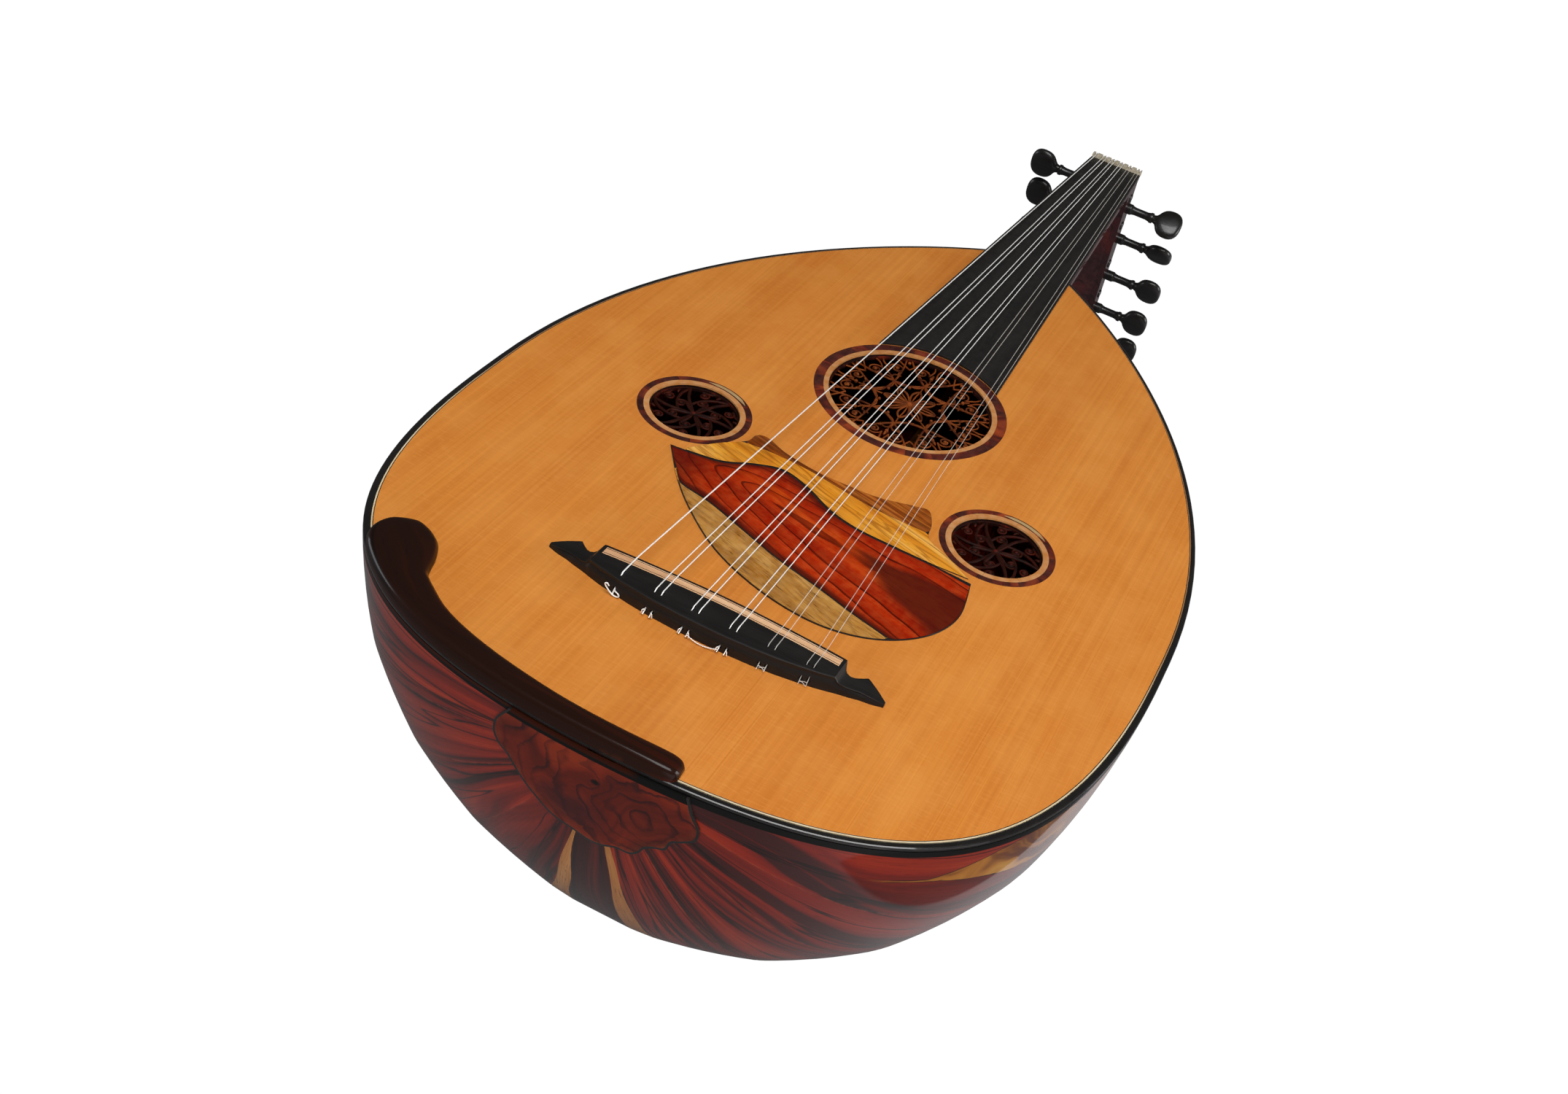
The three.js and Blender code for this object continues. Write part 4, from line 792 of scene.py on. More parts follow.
# One pale piece let into the dark band of each side ring, with pointed ends and a dark line left on both sides
paleSetup = {"from": 49, "to": 103, "inner": 25.6, "outer": 27.45, "low": -0.4, "high": 0.03}
palePiece = woodFinish("ringPale",
                       {**lineMaple, "turn": (0, 0, 0), "coat": 0.15, "cloudColour": (0.4, 0.26, 0.11),
                        "fibreColour": (0.27, 0.16, 0.065),
                        "bands": [(0.0, (0.33, 0.21, 0.09)), (0.5, (0.43, 0.29, 0.135)), (1.0, (0.54, 0.4, 0.21))]})
for name in ("bass", "treble"):
    middle, half = (paleSetup["inner"] + paleSetup["outer"]) / 2, (paleSetup["outer"] - paleSetup["inner"]) / 2
    rows = []
    for side in (1, -1):
        for t in spread(0, 1, 31)[::side]:
            rows.append(polar(middle + side * half * min(1, 0.06 + 5 * min(t, 1 - t)),
                              math.radians(mix(paleSetup["from"], paleSetup["to"], t))))
    plate = flatPlate(rows, [], paleSetup["low"], paleSetup["high"], 0.02,
                      centre=(soundHoles[name]["x"], soundHoles[name]["y"]))
    addPiece(f"ringPale_{name}", plate, palePiece, "strip_wood", f"ring_{name}")
print("ring inlays ready")

# Roses: vine fretwork seated under the ring inlays
roseSetup = {"low": -3.8, "high": -2.0, "middle": -2.95, "seat": 3.6, "lip": 0.9, "windings": 1.45,
             "windIn": 0.78, "flatten": 0.95, "stroke": {"main": 0.78, "side": 0.95}}


def rosePlace(hole, share, turn):  # a share of the opening's radius, and a turn about its centre
    return Vector((hole["x"], hole["y"])) + Vector(polar(share * hole["hole"], turn))


def vine(hole, thick, thin, perSpan, *knots, dip=0.0):  # thick in its middle and thin at its ends
    places = [rosePlace(hole, share, turn) for share, turn in knots]
    smooth = splineThrough([at(*place, roseSetup["middle"] - dip) for place in places], perSpan)
    shares = spread(0, 1, len(smooth))
    return smooth, [mix(thin, thick, math.sin(math.pi * min(t, 1.0)) ** 0.6) / 1000 for t in shares]


def bead(hole, share, turn, radius):
    low, high = (at(*rosePlace(hole, share, turn), roseSetup["middle"] + way * radius * 0.8) for way in (-1, 1))
    line = [low.lerp(high, t) for t in (0, 0.12, 0.3, 0.5, 0.7, 0.88, 1)]
    return line, [radius / 1000 * f for f in (0.35, 0.7, 0.93, 1.0, 0.93, 0.7, 0.35)]


def leafStroke(hole, share, turn, lean, length, width):  # a small pointed leaf that leans from the radial direction
    root, run = rosePlace(hole, share, turn), Vector(polar(length, turn + lean))
    line = [at(*(root + run * t), roseSetup["middle"] + 0.25 * math.sin(math.pi * t)) for t in spread(0, 1, 7)]
    return line, [width / 1000 * f for f in (0.35, 0.75, 1.0, 0.95, 0.75, 0.45, 0.12)]


def curl(hole, share, turn, size, way, start):  # a scroll that winds in to a bead
    middle, shares = rosePlace(hole, share, turn), spread(0, 1, 22)
    wound = way * roseSetup["windings"] * 2 * math.pi
    turned = [Vector(polar(size * (1 - roseSetup["windIn"] * t), start + wound * t)) for t in shares]
    line = [at(*(middle + run), roseSetup["middle"]) for run in turned]
    return line, [mix(0.55, 0.95, t ** 3) / 1000 for t in shares]


def mainRoseStrokes(hole):
    strokes, step = [], math.pi / 4
    for k in range(8):
        a, b = k * step, (k + 0.5) * step
        # centre flower: a petal outline with a rib
        strokes += [vine(hole, 0.75, 0.6, 6, (0.03, a), (0.13, a - 0.33), (0.25, a - 0.22), (0.335, a),
                         (0.25, a + 0.22), (0.13, a + 0.33), (0.03, a)),
                    vine(hole, 0.55, 0.35, 5, (0.06, a), (0.22, a + 0.03), (0.31, a))]
        for way in (1, -1):
            # crossing arcs from the rim to the rim, past the flower
            strokes += [vine(hole, 0.72, 0.6, 6, (1.0, a - way * 0.36), (0.8, a - way * 0.3), (0.6, a - way * 0.16),
                             (0.47, a + way * 0.07), (0.41, a + way * 0.33), (0.4, a + way * 0.52)),
                        vine(hole, 0.66, 0.5, 6, (0.4, a + way * 0.52), (0.44, a + way * 0.7), (0.55, a + way * 0.8),
                             (0.64, a + way * 0.7), (0.61, a + way * 0.56), dip=0.25)]
            # scrolls in the outer bays, each from a stem out of the rim
            strokes += [vine(hole, 0.6, 0.55, 5, (0.99, a + way * 0.05), (0.9, a + way * 0.03),
                             (0.78, a + way * 0.056)),
                        curl(hole, 0.775, a + way * 0.19, 4.4, way, a - way * math.pi / 2),
                        bead(hole, 0.775, a + way * 0.19, 1.25),
                        leafStroke(hole, 0.64, a + way * 0.16, way * 0.9, 3.0, 0.8)]
        strokes += [vine(hole, 0.6, 0.45, 6, (0.36, a), (0.5, a + 0.02), (0.6, a - 0.02), (0.68, a), dip=0.2),
                    bead(hole, 0.715, a, 1.35), bead(hole, 0.37, b, 1.1), bead(hole, 0.93, b, 1.2),
                    leafStroke(hole, 0.73, a, 0.0, 3.6, 0.9)]
        strokes += [vine(hole, 0.6, 0.5, 5, (1.0, b + way * 0.16), (0.88, b + way * 0.09), (0.78, b))
                    for way in (-1, 1)]
    return [*strokes, bead(hole, 0.0, 0.0, 1.9)]


def sideRoseStrokes(hole):
    strokes, step = [], math.pi / 3
    for k in range(6):
        a = k * step + 0.1
        # a large pointed petal: its straight side out to the rim, and its bowed side back to the centre
        strokes += [vine(hole, 0.95, 0.7, 7, (0.03, a), (0.33, a + 0.07), (0.66, a + 0.04), (0.99, a - 0.06)),
                    vine(hole, 0.85, 0.7, 7, (0.99, a - 0.06), (0.82, a + 0.19), (0.64, a + 0.46), (0.5, a + 0.72),
                         (0.36, a + step + 0.07))]
        # the scroll inside it, on a stem from the centre
        strokes += [vine(hole, 1.1, 0.75, 6, (0.05, a + 0.3), (0.22, a + 0.26), (0.38, a + 0.24), (0.5, a + 0.27)),
                    curl(hole, 0.47, a + 0.52, 2.9, 1, a - 0.9), bead(hole, 0.47, a + 0.52, 1.15)]
        # the scroll between two petals at the rim
        strokes += [curl(hole, 0.8, a + 0.62, 2.9, -1, a + 1.2), bead(hole, 0.8, a + 0.62, 1.25),
                    vine(hole, 0.8, 0.6, 5, (1.0, a + 0.36), (0.93, a + 0.48), (0.91, a + 0.6)),
                    leafStroke(hole, 0.97, a + 0.22, math.pi - 0.5, 3.0, 0.9)]
    return [*strokes, bead(hole, 0.0, 0.0, 1.7)]


vineMain = woodFinish("roseVine", vineWood, flow=True)
vineSide = woodFinish("roseDarkVine", smallVineWood, flow=True)
seatWood = woodFinish("roseSeatWood", {**smallVineWood, "rough": 0.5})
for name, hole in soundHoles.items():
    main = name == "main"
    scale = roseSetup["stroke"]["main" if main else "side"]
    strokes = [(line, [r * scale for r in radii])
               for line, radii in (mainRoseStrokes if main else sideRoseStrokes)(hole)]
    vines = strokesMesh(strokes, flatten=roseSetup["flatten"], flow=True)
    addPiece(f"roseVines_{name}", vines, vineMain if main else vineSide, "rose_wood", f"rose_{name}")
    seat = flatPlate(circle(hole["ring"] + roseSetup["seat"]), [circle(hole["hole"] - roseSetup["lip"])],
                     roseSetup["low"], roseSetup["high"], 0.2, centre=(hole["x"], hole["y"]))
    addPiece(f"roseSeat_{name}", seat, seatWood, "rose_wood", f"rose_{name}")
print("roses ready")

# Bridge: a bowed block with leaf ends, a pale strip let into its top and a hole for each string
bridgeSetup = {"half": 78.6, "tall": 8.0, "deep": 21.5, "bow": 2.2, "bevel": 0.8, "holeRadius": 0.95,
               "holePlace": 13.2, "exitHeight": 2.6, "strip": 4.6, "setback": 1.5, "stripHalf": 55.5,
               "stripDeep": 1.2, "lineRadius": 0.14, "lineInset": 0.75, "columns": 41,
               "holeAbove": 1.2, "holeBeyond": 1.5}
bridgeKnots = [  # place across, front, back and height, as shares
    (0, 0, 1, 1), (0.15, 0.008, 0.99, 1), (0.3, 0.03, 0.96, 1), (0.43, 0.052, 0.91, 1), (0.55, 0.08, 0.84, 1),
    (0.64, 0.105, 0.78, 1), (0.71, 0.13, 0.715, 1), (0.725, 0.14, 0.7, 1), (0.731, 0.185, 0.693, 0.93),
    (0.738, 0.245, 0.685, 0.82), (0.745, 0.3, 0.68, 0.72), (0.757, 0.342, 0.668, 0.66), (0.78, 0.36, 0.65, 0.6),
    (0.8, 0.335, 0.635, 0.57), (0.82, 0.28, 0.62, 0.55), (0.84, 0.215, 0.602, 0.525), (0.86, 0.14, 0.58, 0.5),
    (0.872, 0.155, 0.57, 0.485), (0.9, 0.215, 0.553, 0.445), (0.93, 0.28, 0.54, 0.4), (0.965, 0.36, 0.508, 0.32),
    (0.985, 0.405, 0.485, 0.26), (1, 0.44, 0.47, 0.22)]


def bridgeEdge(x, key):
    along = min(abs(x) / bridgeSetup["half"], 1.0)
    for low, high in zip(bridgeKnots, bridgeKnots[1:]):
        if along <= high[0]:
            return mix(low[key], high[key], (along - low[0]) / (high[0] - low[0]))
    return bridgeKnots[-1][key]


def bridgeFront(x):
    return bridgeSetup["bow"] - bridgeEdge(x, 1) * bridgeSetup["deep"]


def bridgeBack(x):
    return bridgeSetup["bow"] - bridgeEdge(x, 2) * (bridgeSetup["deep"] + bridgeSetup["bow"])


def bridgeBlock():
    rings, flow = [], []
    places = [-k[0] for k in reversed(bridgeKnots)] + [k[0] for k in bridgeKnots[1:]]
    for along in places:
        x = along * bridgeSetup["half"]
        nose, heel, tall = bridgeFront(x), bridgeBack(x), bridgeEdge(x, 3)
        top = tall * bridgeSetup["tall"]
        bevel = bridgeSetup["bevel"] * min(tall, (nose - heel) / bridgeSetup["deep"])
        hollow = min(1.0, (nose - heel) / 12)
        section = [(nose, 0), (nose, 0.45 * top), (nose, top - bevel), (nose - 0.3 * bevel, top - 0.3 * bevel),
                   (nose - bevel, top), (nose - 1.5 * bevel, top), (heel + 3 * bevel, top), (heel + 2 * bevel, top),
                   (heel + 1.3 * bevel, top - 0.35 * bevel), (heel + 1.0 * hollow, mix(top, top / 2, 0.45)),
                   (heel + 0.35 * hollow, mix(top, top / 2, 0.8)), (heel, top / 2 - 0.2), (heel, 0)]
        rings.append([at(x, y, z) for y, z in section])
        flow += [(x / 1000, (y + z) / 1000) for y, z in section]
    return loft(rings, sharp=32, flow=flow)


def stripMesh(grow, top):
    rings, flow = [], []
    for share in spread(-1, 1, bridgeSetup["columns"]):
        x = share * (bridgeSetup["stripHalf"] + grow)
        nose = bridgeFront(x) - bridgeSetup["setback"] + grow
        heel = nose - bridgeSetup["strip"] - 2 * grow
        low = bridgeSetup["tall"] - bridgeSetup["stripDeep"] - grow
        rings.append([at(x, y, z) for y, z in ((nose, low), (nose, top), (heel, top), (heel, low))])
        flow += [(x / 1000, y / 1000) for y in (nose, nose, heel, heel)]
    return loft(rings, sharp=30, flow=flow)


def coursePlaces(first, pitch, gap):
    places = [first]
    for course in range(1, 6):
        places += [first + course * pitch - gap / 2, first + course * pitch + gap / 2]
    return places


bridgePlaces = coursePlaces(-42.0, 17.58, 3.2)
nutPlaces = coursePlaces(-15.5, 6.2, 2.2)


def bridgeHole(x, height):  # where a string drops into its slanting hole, where it leaves, and its direction
    mouth = Vector((x, -bridgeSetup["holePlace"], bridgeSetup["tall"]))
    leaves = Vector((x, bridgeBack(x), bridgeSetup["exitHeight"]))
    slope = leaves - mouth
    kink = mouth - slope * (height / (bridgeSetup["tall"] - bridgeSetup["exitHeight"]))
    return kink, leaves, slope.normalized()


def carve(piece, cutter):  # takes a cutter mesh out of a piece
    holder = bpy.data.objects.new("cutter", cutter)
    scene.collection.objects.link(holder)
    cut = piece.modifiers.new("carve", "BOOLEAN")
    cut.operation, cut.solver, cut.object = "DIFFERENCE", "EXACT", holder
    bpy.context.view_layer.update()
    mesh = bpy.data.meshes.new_from_object(piece.evaluated_get(bpy.context.evaluated_depsgraph_get()))
    piece.modifiers.clear()
    piece.data = mesh
    bpy.data.objects.remove(holder)
    return piece


bridgeBlack = woodFinish("bridgeEbony", {**ebony, "rough": 0.42, "shine": 0.2, "coat": 0.08, "edge": 0.2}, flow=True)
bridgePale = woodFinish("bridgeMaple", bridgeMaple, flow=True)
bridge = newPiece("bridgeBlock", bridgeBlock())
holeStrokes = []
for x in bridgePlaces:
    kink, leaves, direction = bridgeHole(x, bridgeSetup["holeAbove"])
    line = [at(*kink), at(*(leaves + direction * bridgeSetup["holeBeyond"]))]
    holeStrokes.append((line, [bridgeSetup["holeRadius"] / 1000] * 2))
carve(bridge, stripMesh(0.05, bridgeSetup["tall"] + 1))
carve(bridge, strokesMesh(holeStrokes, sides=14))
finishMesh(bridge.data, 32)
dress(softEdges(bridge, 0.25), bridgeBlack, "black_wood", "bridge")
strip = newPiece("bridgeStrip", stripMesh(0, bridgeSetup["tall"]))
dress(softEdges(strip, 0.12), bridgePale, "strip_wood", "bridge_strip")
stripLine = []
for offset in (bridgeSetup["lineInset"], bridgeSetup["strip"] - bridgeSetup["lineInset"]):
    line = []
    for share in spread(-0.995, 0.995, bridgeSetup["columns"]):
        x = share * bridgeSetup["stripHalf"]
        line.append(at(x, bridgeFront(x) - bridgeSetup["setback"] - offset, bridgeSetup["tall"] - 0.02))
    stripLine.append((line, [bridgeSetup["lineRadius"] / 1000] * len(line)))
addPiece("bridgeStripLines", strokesMesh(stripLine, sides=6, flow=True), bridgeBlack, "black_wood", "bridge_strip")
print("bridge ready")

# Pegbox frame: Y runs down the box from the nut, Z out of its open front
pegboxSetup = {"angle": math.radians(70), "length": 191.0, "topHalf": 17.6, "tipHalf": 12.0, "topDeep": 20.0,
               "tipDeep": 17.0, "frontDrop": 3.0, "axisShare": 0.4, "cheek": 4.2, "scoop": 4.0, "setback": 0.8,
               "nutBack": 589.0}
boxDown = Vector((0, math.cos(pegboxSetup["angle"]), -math.sin(pegboxSetup["angle"])))
boxOut = Vector((0, math.sin(pegboxSetup["angle"]), math.cos(pegboxSetup["angle"])))


def boxPoint(x, u, v):  # plan millimetres of a place in the pegbox frame
    return Vector((x, pegboxSetup["nutBack"], 0)) + boxDown * u + boxOut * v


def boxHalf(u):
    return mix(pegboxSetup["topHalf"], pegboxSetup["tipHalf"], u / pegboxSetup["length"])


def boxDeep(u):
    return mix(pegboxSetup["topDeep"], pegboxSetup["tipDeep"], u / pegboxSetup["length"])


def pegHeight(u):
    return -pegboxSetup["frontDrop"] - pegboxSetup["axisShare"] * (boxDeep(u) - pegboxSetup["frontDrop"])


# Pegs: how far down the box, which string, how far each is turned and how far it stands out
pegSetup = {"firstBass": 10.5, "firstTreble": 22.0, "pitch": (191.0 - 12.0 - 10.5) / 5, "spread": 4.0, "thick": 3.7,
            "thin": 3.1, "stub": 0.8, "shoulder": 3.0, "taper": 3.0, "neck": 2.7, "collar": 3.6,
            "collarLength": 2.4, "headPlace": 19.2, "headLength": 20.2, "headHalf": 10.4, "headThick": 3.9,
            "stand": 1.6, "lane": 8.4, "lanePitch": 1.6, "room": 0.12, "sides": 32, "square": 0.86,
            "grainRadius": 0.0035}
pegShares = [0.75, -1, 0.25, 0, -0.25, 0.25, 0.25, -0.75, 0.25, 0.75, 0.25]
pegStands = [-0.8, -1, 0.6, -0.2, 0.3, -0.6, -1, -0.3, 0.7, -0.2, -0.5]
pegTurns = [-10, -15, -38, 98, 22, -70, -70, 20, 0, -10, -15]
pegs = []
for i in range(11):
    bass, row = i < 6, i if i < 6 else i - 6
    first = pegSetup["firstBass"] if bass else pegSetup["firstTreble"]
    pegs.append({"name": f"peg_{'bass' if bass else 'treble'}_{row + 1}", "side": -1 if bass else 1, "row": row,
                 "string": i if bass else 10 - row,
                 "u": first + row * pegSetup["pitch"] + pegSetup["spread"] * pegShares[i],
                 "stand": pegSetup["stand"] * (1 + pegStands[i]), "turn": math.radians(pegTurns[i])})


def pegPlace(peg, x, y, z):  # a point of the peg's own frame, in the model's frame
    turned = Vector((x, y, z))
    if peg["side"] < 0:
        turned = Vector((-x, -y, z))
    c, s = math.cos(peg["turn"]), math.sin(peg["turn"])
    turned = Vector((turned.x, turned.y * c - turned.z * s, turned.y * s + turned.z * c))
    spot = boxPoint(peg["side"] * boxHalf(peg["u"]) + turned.x, peg["u"] + turned.y, pegHeight(peg["u"]) + turned.z)
    return at(*spot)


pegHeadShares = [(0.0, 0.26, 0.62), (0.05, 0.27, 0.64), (0.1, 0.31, 0.7), (0.145, 0.42, 0.8), (0.19, 0.58, 0.88),
                 (0.24, 0.72, 0.94), (0.31, 0.85, 0.98), (0.4, 0.94, 1.0), (0.5, 0.985, 1.0), (0.6, 1.0, 0.98),
                 (0.7, 0.985, 0.94), (0.79, 0.93, 0.89), (0.87, 0.83, 0.82), (0.93, 0.69, 0.74), (0.97, 0.52, 0.64),
                 (0.99, 0.38, 0.52), (1.0, 0.2, 0.34)]


def pegMesh(peg):
    s, sides = pegSetup, pegSetup["sides"]
    shoulder, head = s["shoulder"] + peg["stand"], s["headPlace"] + peg["stand"]
    far = -2 * boxHalf(peg["u"]) - s["stub"]
    collar = head - s["collarLength"]
    lean = (s["thick"] - s["thin"]) / (shoulder - far)
    rings = [(far, s["thin"] - 0.5, s["thin"] - 0.5), (far + 0.25, s["thin"] - 0.15, s["thin"] - 0.15),
             (far + 0.6, s["thin"] + 0.6 * lean, s["thin"] + 0.6 * lean),
             (shoulder - 0.4, s["thick"] - 0.01, s["thick"] - 0.01),
             (shoulder, s["thick"] - 0.05, s["thick"] - 0.05), (shoulder + 0.5, s["thick"] - 0.3, s["thick"] - 0.3)]
    for t in (0.3, 0.55, 0.8, 1.0):
        r = mix(s["thick"] - 0.3, s["neck"], t ** 0.7)
        rings.append((shoulder + s["taper"] * t, r, r))
    last = collar - s["collarLength"]
    for x, r in ((last, s["neck"]), (last + 0.8, s["neck"] + 0.12), (collar - 0.9, s["neck"] + 0.3),
                 (collar - 0.25, s["neck"] + 0.42), (collar, s["collar"] - 0.35), (collar + 0.2, s["collar"] - 0.08),
                 (collar + 0.6, s["collar"]), (head - 0.7, s["collar"]), (head - 0.3, s["collar"] - 0.1),
                 (head - 0.06, s["collar"] - 0.4)):
        rings.append((x, r, r))
    for along, wide, thin in pegHeadShares:
        rings.append((head + along * s["headLength"], wide * s["headHalf"], thin * s["headThick"]))
    points, flow = [], []
    for x, wide, thin in rings:
        ring = []
        for k in range(sides):
            turn = k / sides * 2 * math.pi
            c, d = math.cos(turn), math.sin(turn)
            if x > head:  # the head is a little squarer than an ellipse
                c, d = (math.copysign(abs(value) ** s["square"], value) for value in (c, d))
            ring.append(pegPlace(peg, x, c * wide, d * thin))
            flow.append((x / 1000 + peg["u"] * 0.01, turn * s["grainRadius"]))
        points.append(ring)
    return loft(points, sharp=35, flow=flow)


pegWood = {**ebony, "rough": 0.3, "coat": 0.35, "coatRough": 0.12, "along": 20.0, "across": 260.0, "edge": 0.3,
           "smudge": 90.0}
pegBlack = woodFinish("pegEbony", pegWood, flow=True)
for peg in pegs:
    piece = newPiece(f"tuningPeg_{peg['name'][4:]}", pegMesh(peg), peg["name"])
    dress(piece, pegBlack, "black_wood", peg["name"])
print("pegs ready")

# Strings: up from the bridge, over the nut and round their pegs
stringSetup = {"sizes": [1.1, 0.9, 0.9, 0.85, 0.85, 0.8, 0.8, 0.7, 0.7, 0.6, 0.6], "rest": 0.12, "tail": 2.5,
               "nutFront": 585.0, "slotFloor": 2.6, "space": 0.5, "turns": 2.25, "wound": 7, "steps": 28,
               "seen": 0.6, "onPeg": 0.75, "beside": 0.06, "nutSteps": 9}


def stringLine(peg):
    size = stringSetup["sizes"][peg["string"]]
    radius = size / 2
    clear = radius + stringSetup["rest"]
    x, nutX = bridgePlaces[peg["string"]], nutPlaces[peg["string"]]
    kink, leaves, direction = bridgeHole(x, clear)
    line = [leaves + direction * stringSetup["tail"], leaves, kink,
            Vector((x, bridgeFront(x), bridgeSetup["tall"] + clear)),
            Vector((nutX, stringSetup["nutFront"], stringSetup["slotFloor"] + clear))]
    line[2:3] = [kink.lerp(line[1], 0.12), kink + Vector((0, 0.15, 0.0)), kink.lerp(line[3], 0.12)]
    nearPeg = pegSetup["thin"] + (pegSetup["thick"] - pegSetup["thin"]) * stringSetup["onPeg"]
    wind = nearPeg + stringSetup["rest"] + radius
    centre = pegHeight(peg["u"])
    lane = peg["side"] * (pegSetup["lane"] - peg["row"] * pegSetup["lanePitch"])
    drop = stringSetup["slotFloor"] * boxOut.z - centre - wind
    leave = pegboxSetup["angle"] + math.atan2(drop, peg["u"])
    for turn in spread(0, leave, stringSetup["nutSteps"]):
        line.append(Vector((nutX, pegboxSetup["nutBack"] + clear * math.sin(turn),
                            stringSetup["slotFloor"] + clear * math.cos(turn))))
    start = line[-1] - Vector((0, pegboxSetup["nutBack"], 0))
    run, rise = peg["u"] - start.dot(boxDown), centre - start.dot(boxOut)
    slope = math.atan2(rise, run) + math.asin(wind / math.hypot(run, rise))
    width = stringSetup["turns"] * (size + stringSetup["space"])
    pitch = size + stringSetup["beside"]
    turns = math.floor(width / pitch * 4) / 4
    steps = stringSetup["steps"]
    for i in range(round(turns * steps) + 1):
        turn = i / steps * 2 * math.pi - slope
        spot = boxPoint(lane + peg["side"] * pitch * i / steps, peg["u"] + wind * math.sin(turn),
                        centre + wind * math.cos(turn))
        line.append(spot)
    return [at(*p) for p in line], radius / 1000 * stringSetup["seen"]


def wornString(name, rough, spread, scale, **plain):  # a smooth string with handling marks
    material, tree, shader = startMaterial(name, rough, **plain)
    smudge = useGroup(wearGroup, Vector=framePlace(tree), Scale=scale, Edge=0.2)["Smudge"]
    feed(plus(times(smudge, spread[0]), spread[1]), shader.inputs["Roughness"])
    return material, shader, smudge


def woundMaterial():  # silver wire wound close round a core, slightly dulled
    material, shader, smudge = wornString("silverWinding", 0.3, (0.14, 0.24), 120.0, Metallic=0.25)
    wire = {"pitch": 0.00032, "slant": 2200.0, "silver": (0.97, 0.96, 0.93), "dull": (0.86, 0.84, 0.79),
            "grooveShade": (0.4, 0.38, 0.34)}
    along, around, _ = split(flowPlace(shader.id_data))
    turn = plus(times(along, 2 * math.pi / wire["pitch"]), times(around, wire["slant"]))
    ridge = maths("ABSOLUTE", maths("SINE", times(turn, 0.5)))
    colour = blend(times(smudge, 0.5), wire["silver"], wire["dull"])
    # the grooves between turns are darkened: painted shade
    feed(blend(times(between(ridge, 0.35, 0.0), 0.2), colour, wire["grooveShade"]), shader.inputs["Base Color"])
    applyBump(shader, ridge, 0.2, 0.0001)
    return material


def nylonMaterial():  # clear nylon, smooth, with faint handling marks
    material, shader, smudge = wornString("clearNylon", 0.22, (0.12, 0.16), 160.0, IOR=1.5, Alpha=0.3)
    feed(blend(smudge, (0.88, 0.84, 0.78), (0.74, 0.68, 0.62)), shader.inputs["Base Color"])
    applyBump(shader, smudge, 0.05, 0.0002)
    return material


silver, nylon = woundMaterial(), nylonMaterial()
for peg in pegs:
    line, radius = stringLine(peg)
    wound = peg["string"] < stringSetup["wound"]
    name = f"string_{peg['string'] + 1:02d}"
    mesh = strokesMesh([(line, [radius] * len(line))], sides=10, flow=True)
    addPiece(f"{name}_line", mesh, silver if wound else nylon, "wound_string" if wound else "plain_string", name)
print("strings ready")

# String ends behind the bridge: bent silver tails, one loop, a thin sagging cord and cut nylon ends
tailSetup = {"height": 2.2, "cordSag": 1.4, "cordBack": 1.5, "twist": 0.16, "turns": 40, "cordRadius": 0.12,
             "nylonBack": 0.7, "silverShare": 3200, "nylonShare": 3400}
silverEnds = [[(0.8, -0.8, 0.1), (2.6, -1.3, -0.3), (2.9, -1.5, -1.5), (1.0, -1.5, -1.9), (-1.4, -1.3, -0.9),
               (-3.2, -1.2, 0.7), (-4.0, -1.2, 2.0), (-3.0, -1.1, 2.6), (-2.2, -1.1, 1.6)],
              [(-0.2, -1.2, 0.6), (-0.6, -1.5, 0.2), (-0.9, -1.4, -1.6)],
              [(0.3, -1.3, 0.7), (0.8, -1.5, 0.2), (1.0, -1.3, -1.7)],
              [(-0.2, -1.3, 0.6), (-0.6, -1.5, 0.1), (-0.9, -1.4, -1.7)],
              [(0.4, -1.2, 0.8), (0.9, -1.5, 0.3), (1.1, -1.4, -1.8)],
              [(-0.3, -1.3, 0.6), (-0.7, -1.5, 0.1), (-1.0, -1.4, -1.6)],
              [(0.3, -1.2, 0.7), (0.8, -1.5, 0.2), (1.1, -1.3, -1.7)]]
tailStrokes, nylonStrokes = [], []
for x, size, spots in zip(bridgePlaces, stringSetup["sizes"], silverEnds):
    leaves = Vector((x, bridgeBack(x), bridgeSetup["exitHeight"]))
    line = splineThrough([at(*(leaves + Vector(spot))) for spot in [(0, 0.4, 0.1), *spots]], 8)
    tailStrokes.append((line, [size / tailSetup["silverShare"]] * len(line)))
for phase in (0, math.pi):
    twist = []
    for t in spread(0, 1, 60):
        x = mix(bridgePlaces[4], bridgePlaces[5], t)
        side, up = polar(tailSetup["twist"], t * tailSetup["turns"] + phase)
        twist.append(at(x, bridgeBack(x) - tailSetup["cordBack"] + side - 0.4 * math.sin(math.pi * t),
                        tailSetup["height"] - tailSetup["cordSag"] * 4 * t * (1 - t) + up))
    tailStrokes.append((twist, [tailSetup["cordRadius"] / 1000] * len(twist)))
addPiece("silverTails", strokesMesh(tailStrokes, flow=True), silver, "wound_string")
for course, reach in ((7, 3.4), (8, -2.6), (9, 3.0), (10, -3.2)):
    x = bridgePlaces[course]
    start = Vector((x, bridgeBack(x) - tailSetup["nylonBack"], tailSetup["height"]))
    line = [at(*(start + Vector((reach * t, -0.5 * t, -0.9 * t + 0.4 * math.sin(math.pi * t)))))
            for t in spread(0, 1, 9)]
    nylonStrokes.append((line, [stringSetup["sizes"][course] / tailSetup["nylonShare"]] * len(line)))
addPiece("nylonEnds", strokesMesh(nylonStrokes, flow=True), nylon, "plain_string")
print("string ends ready")

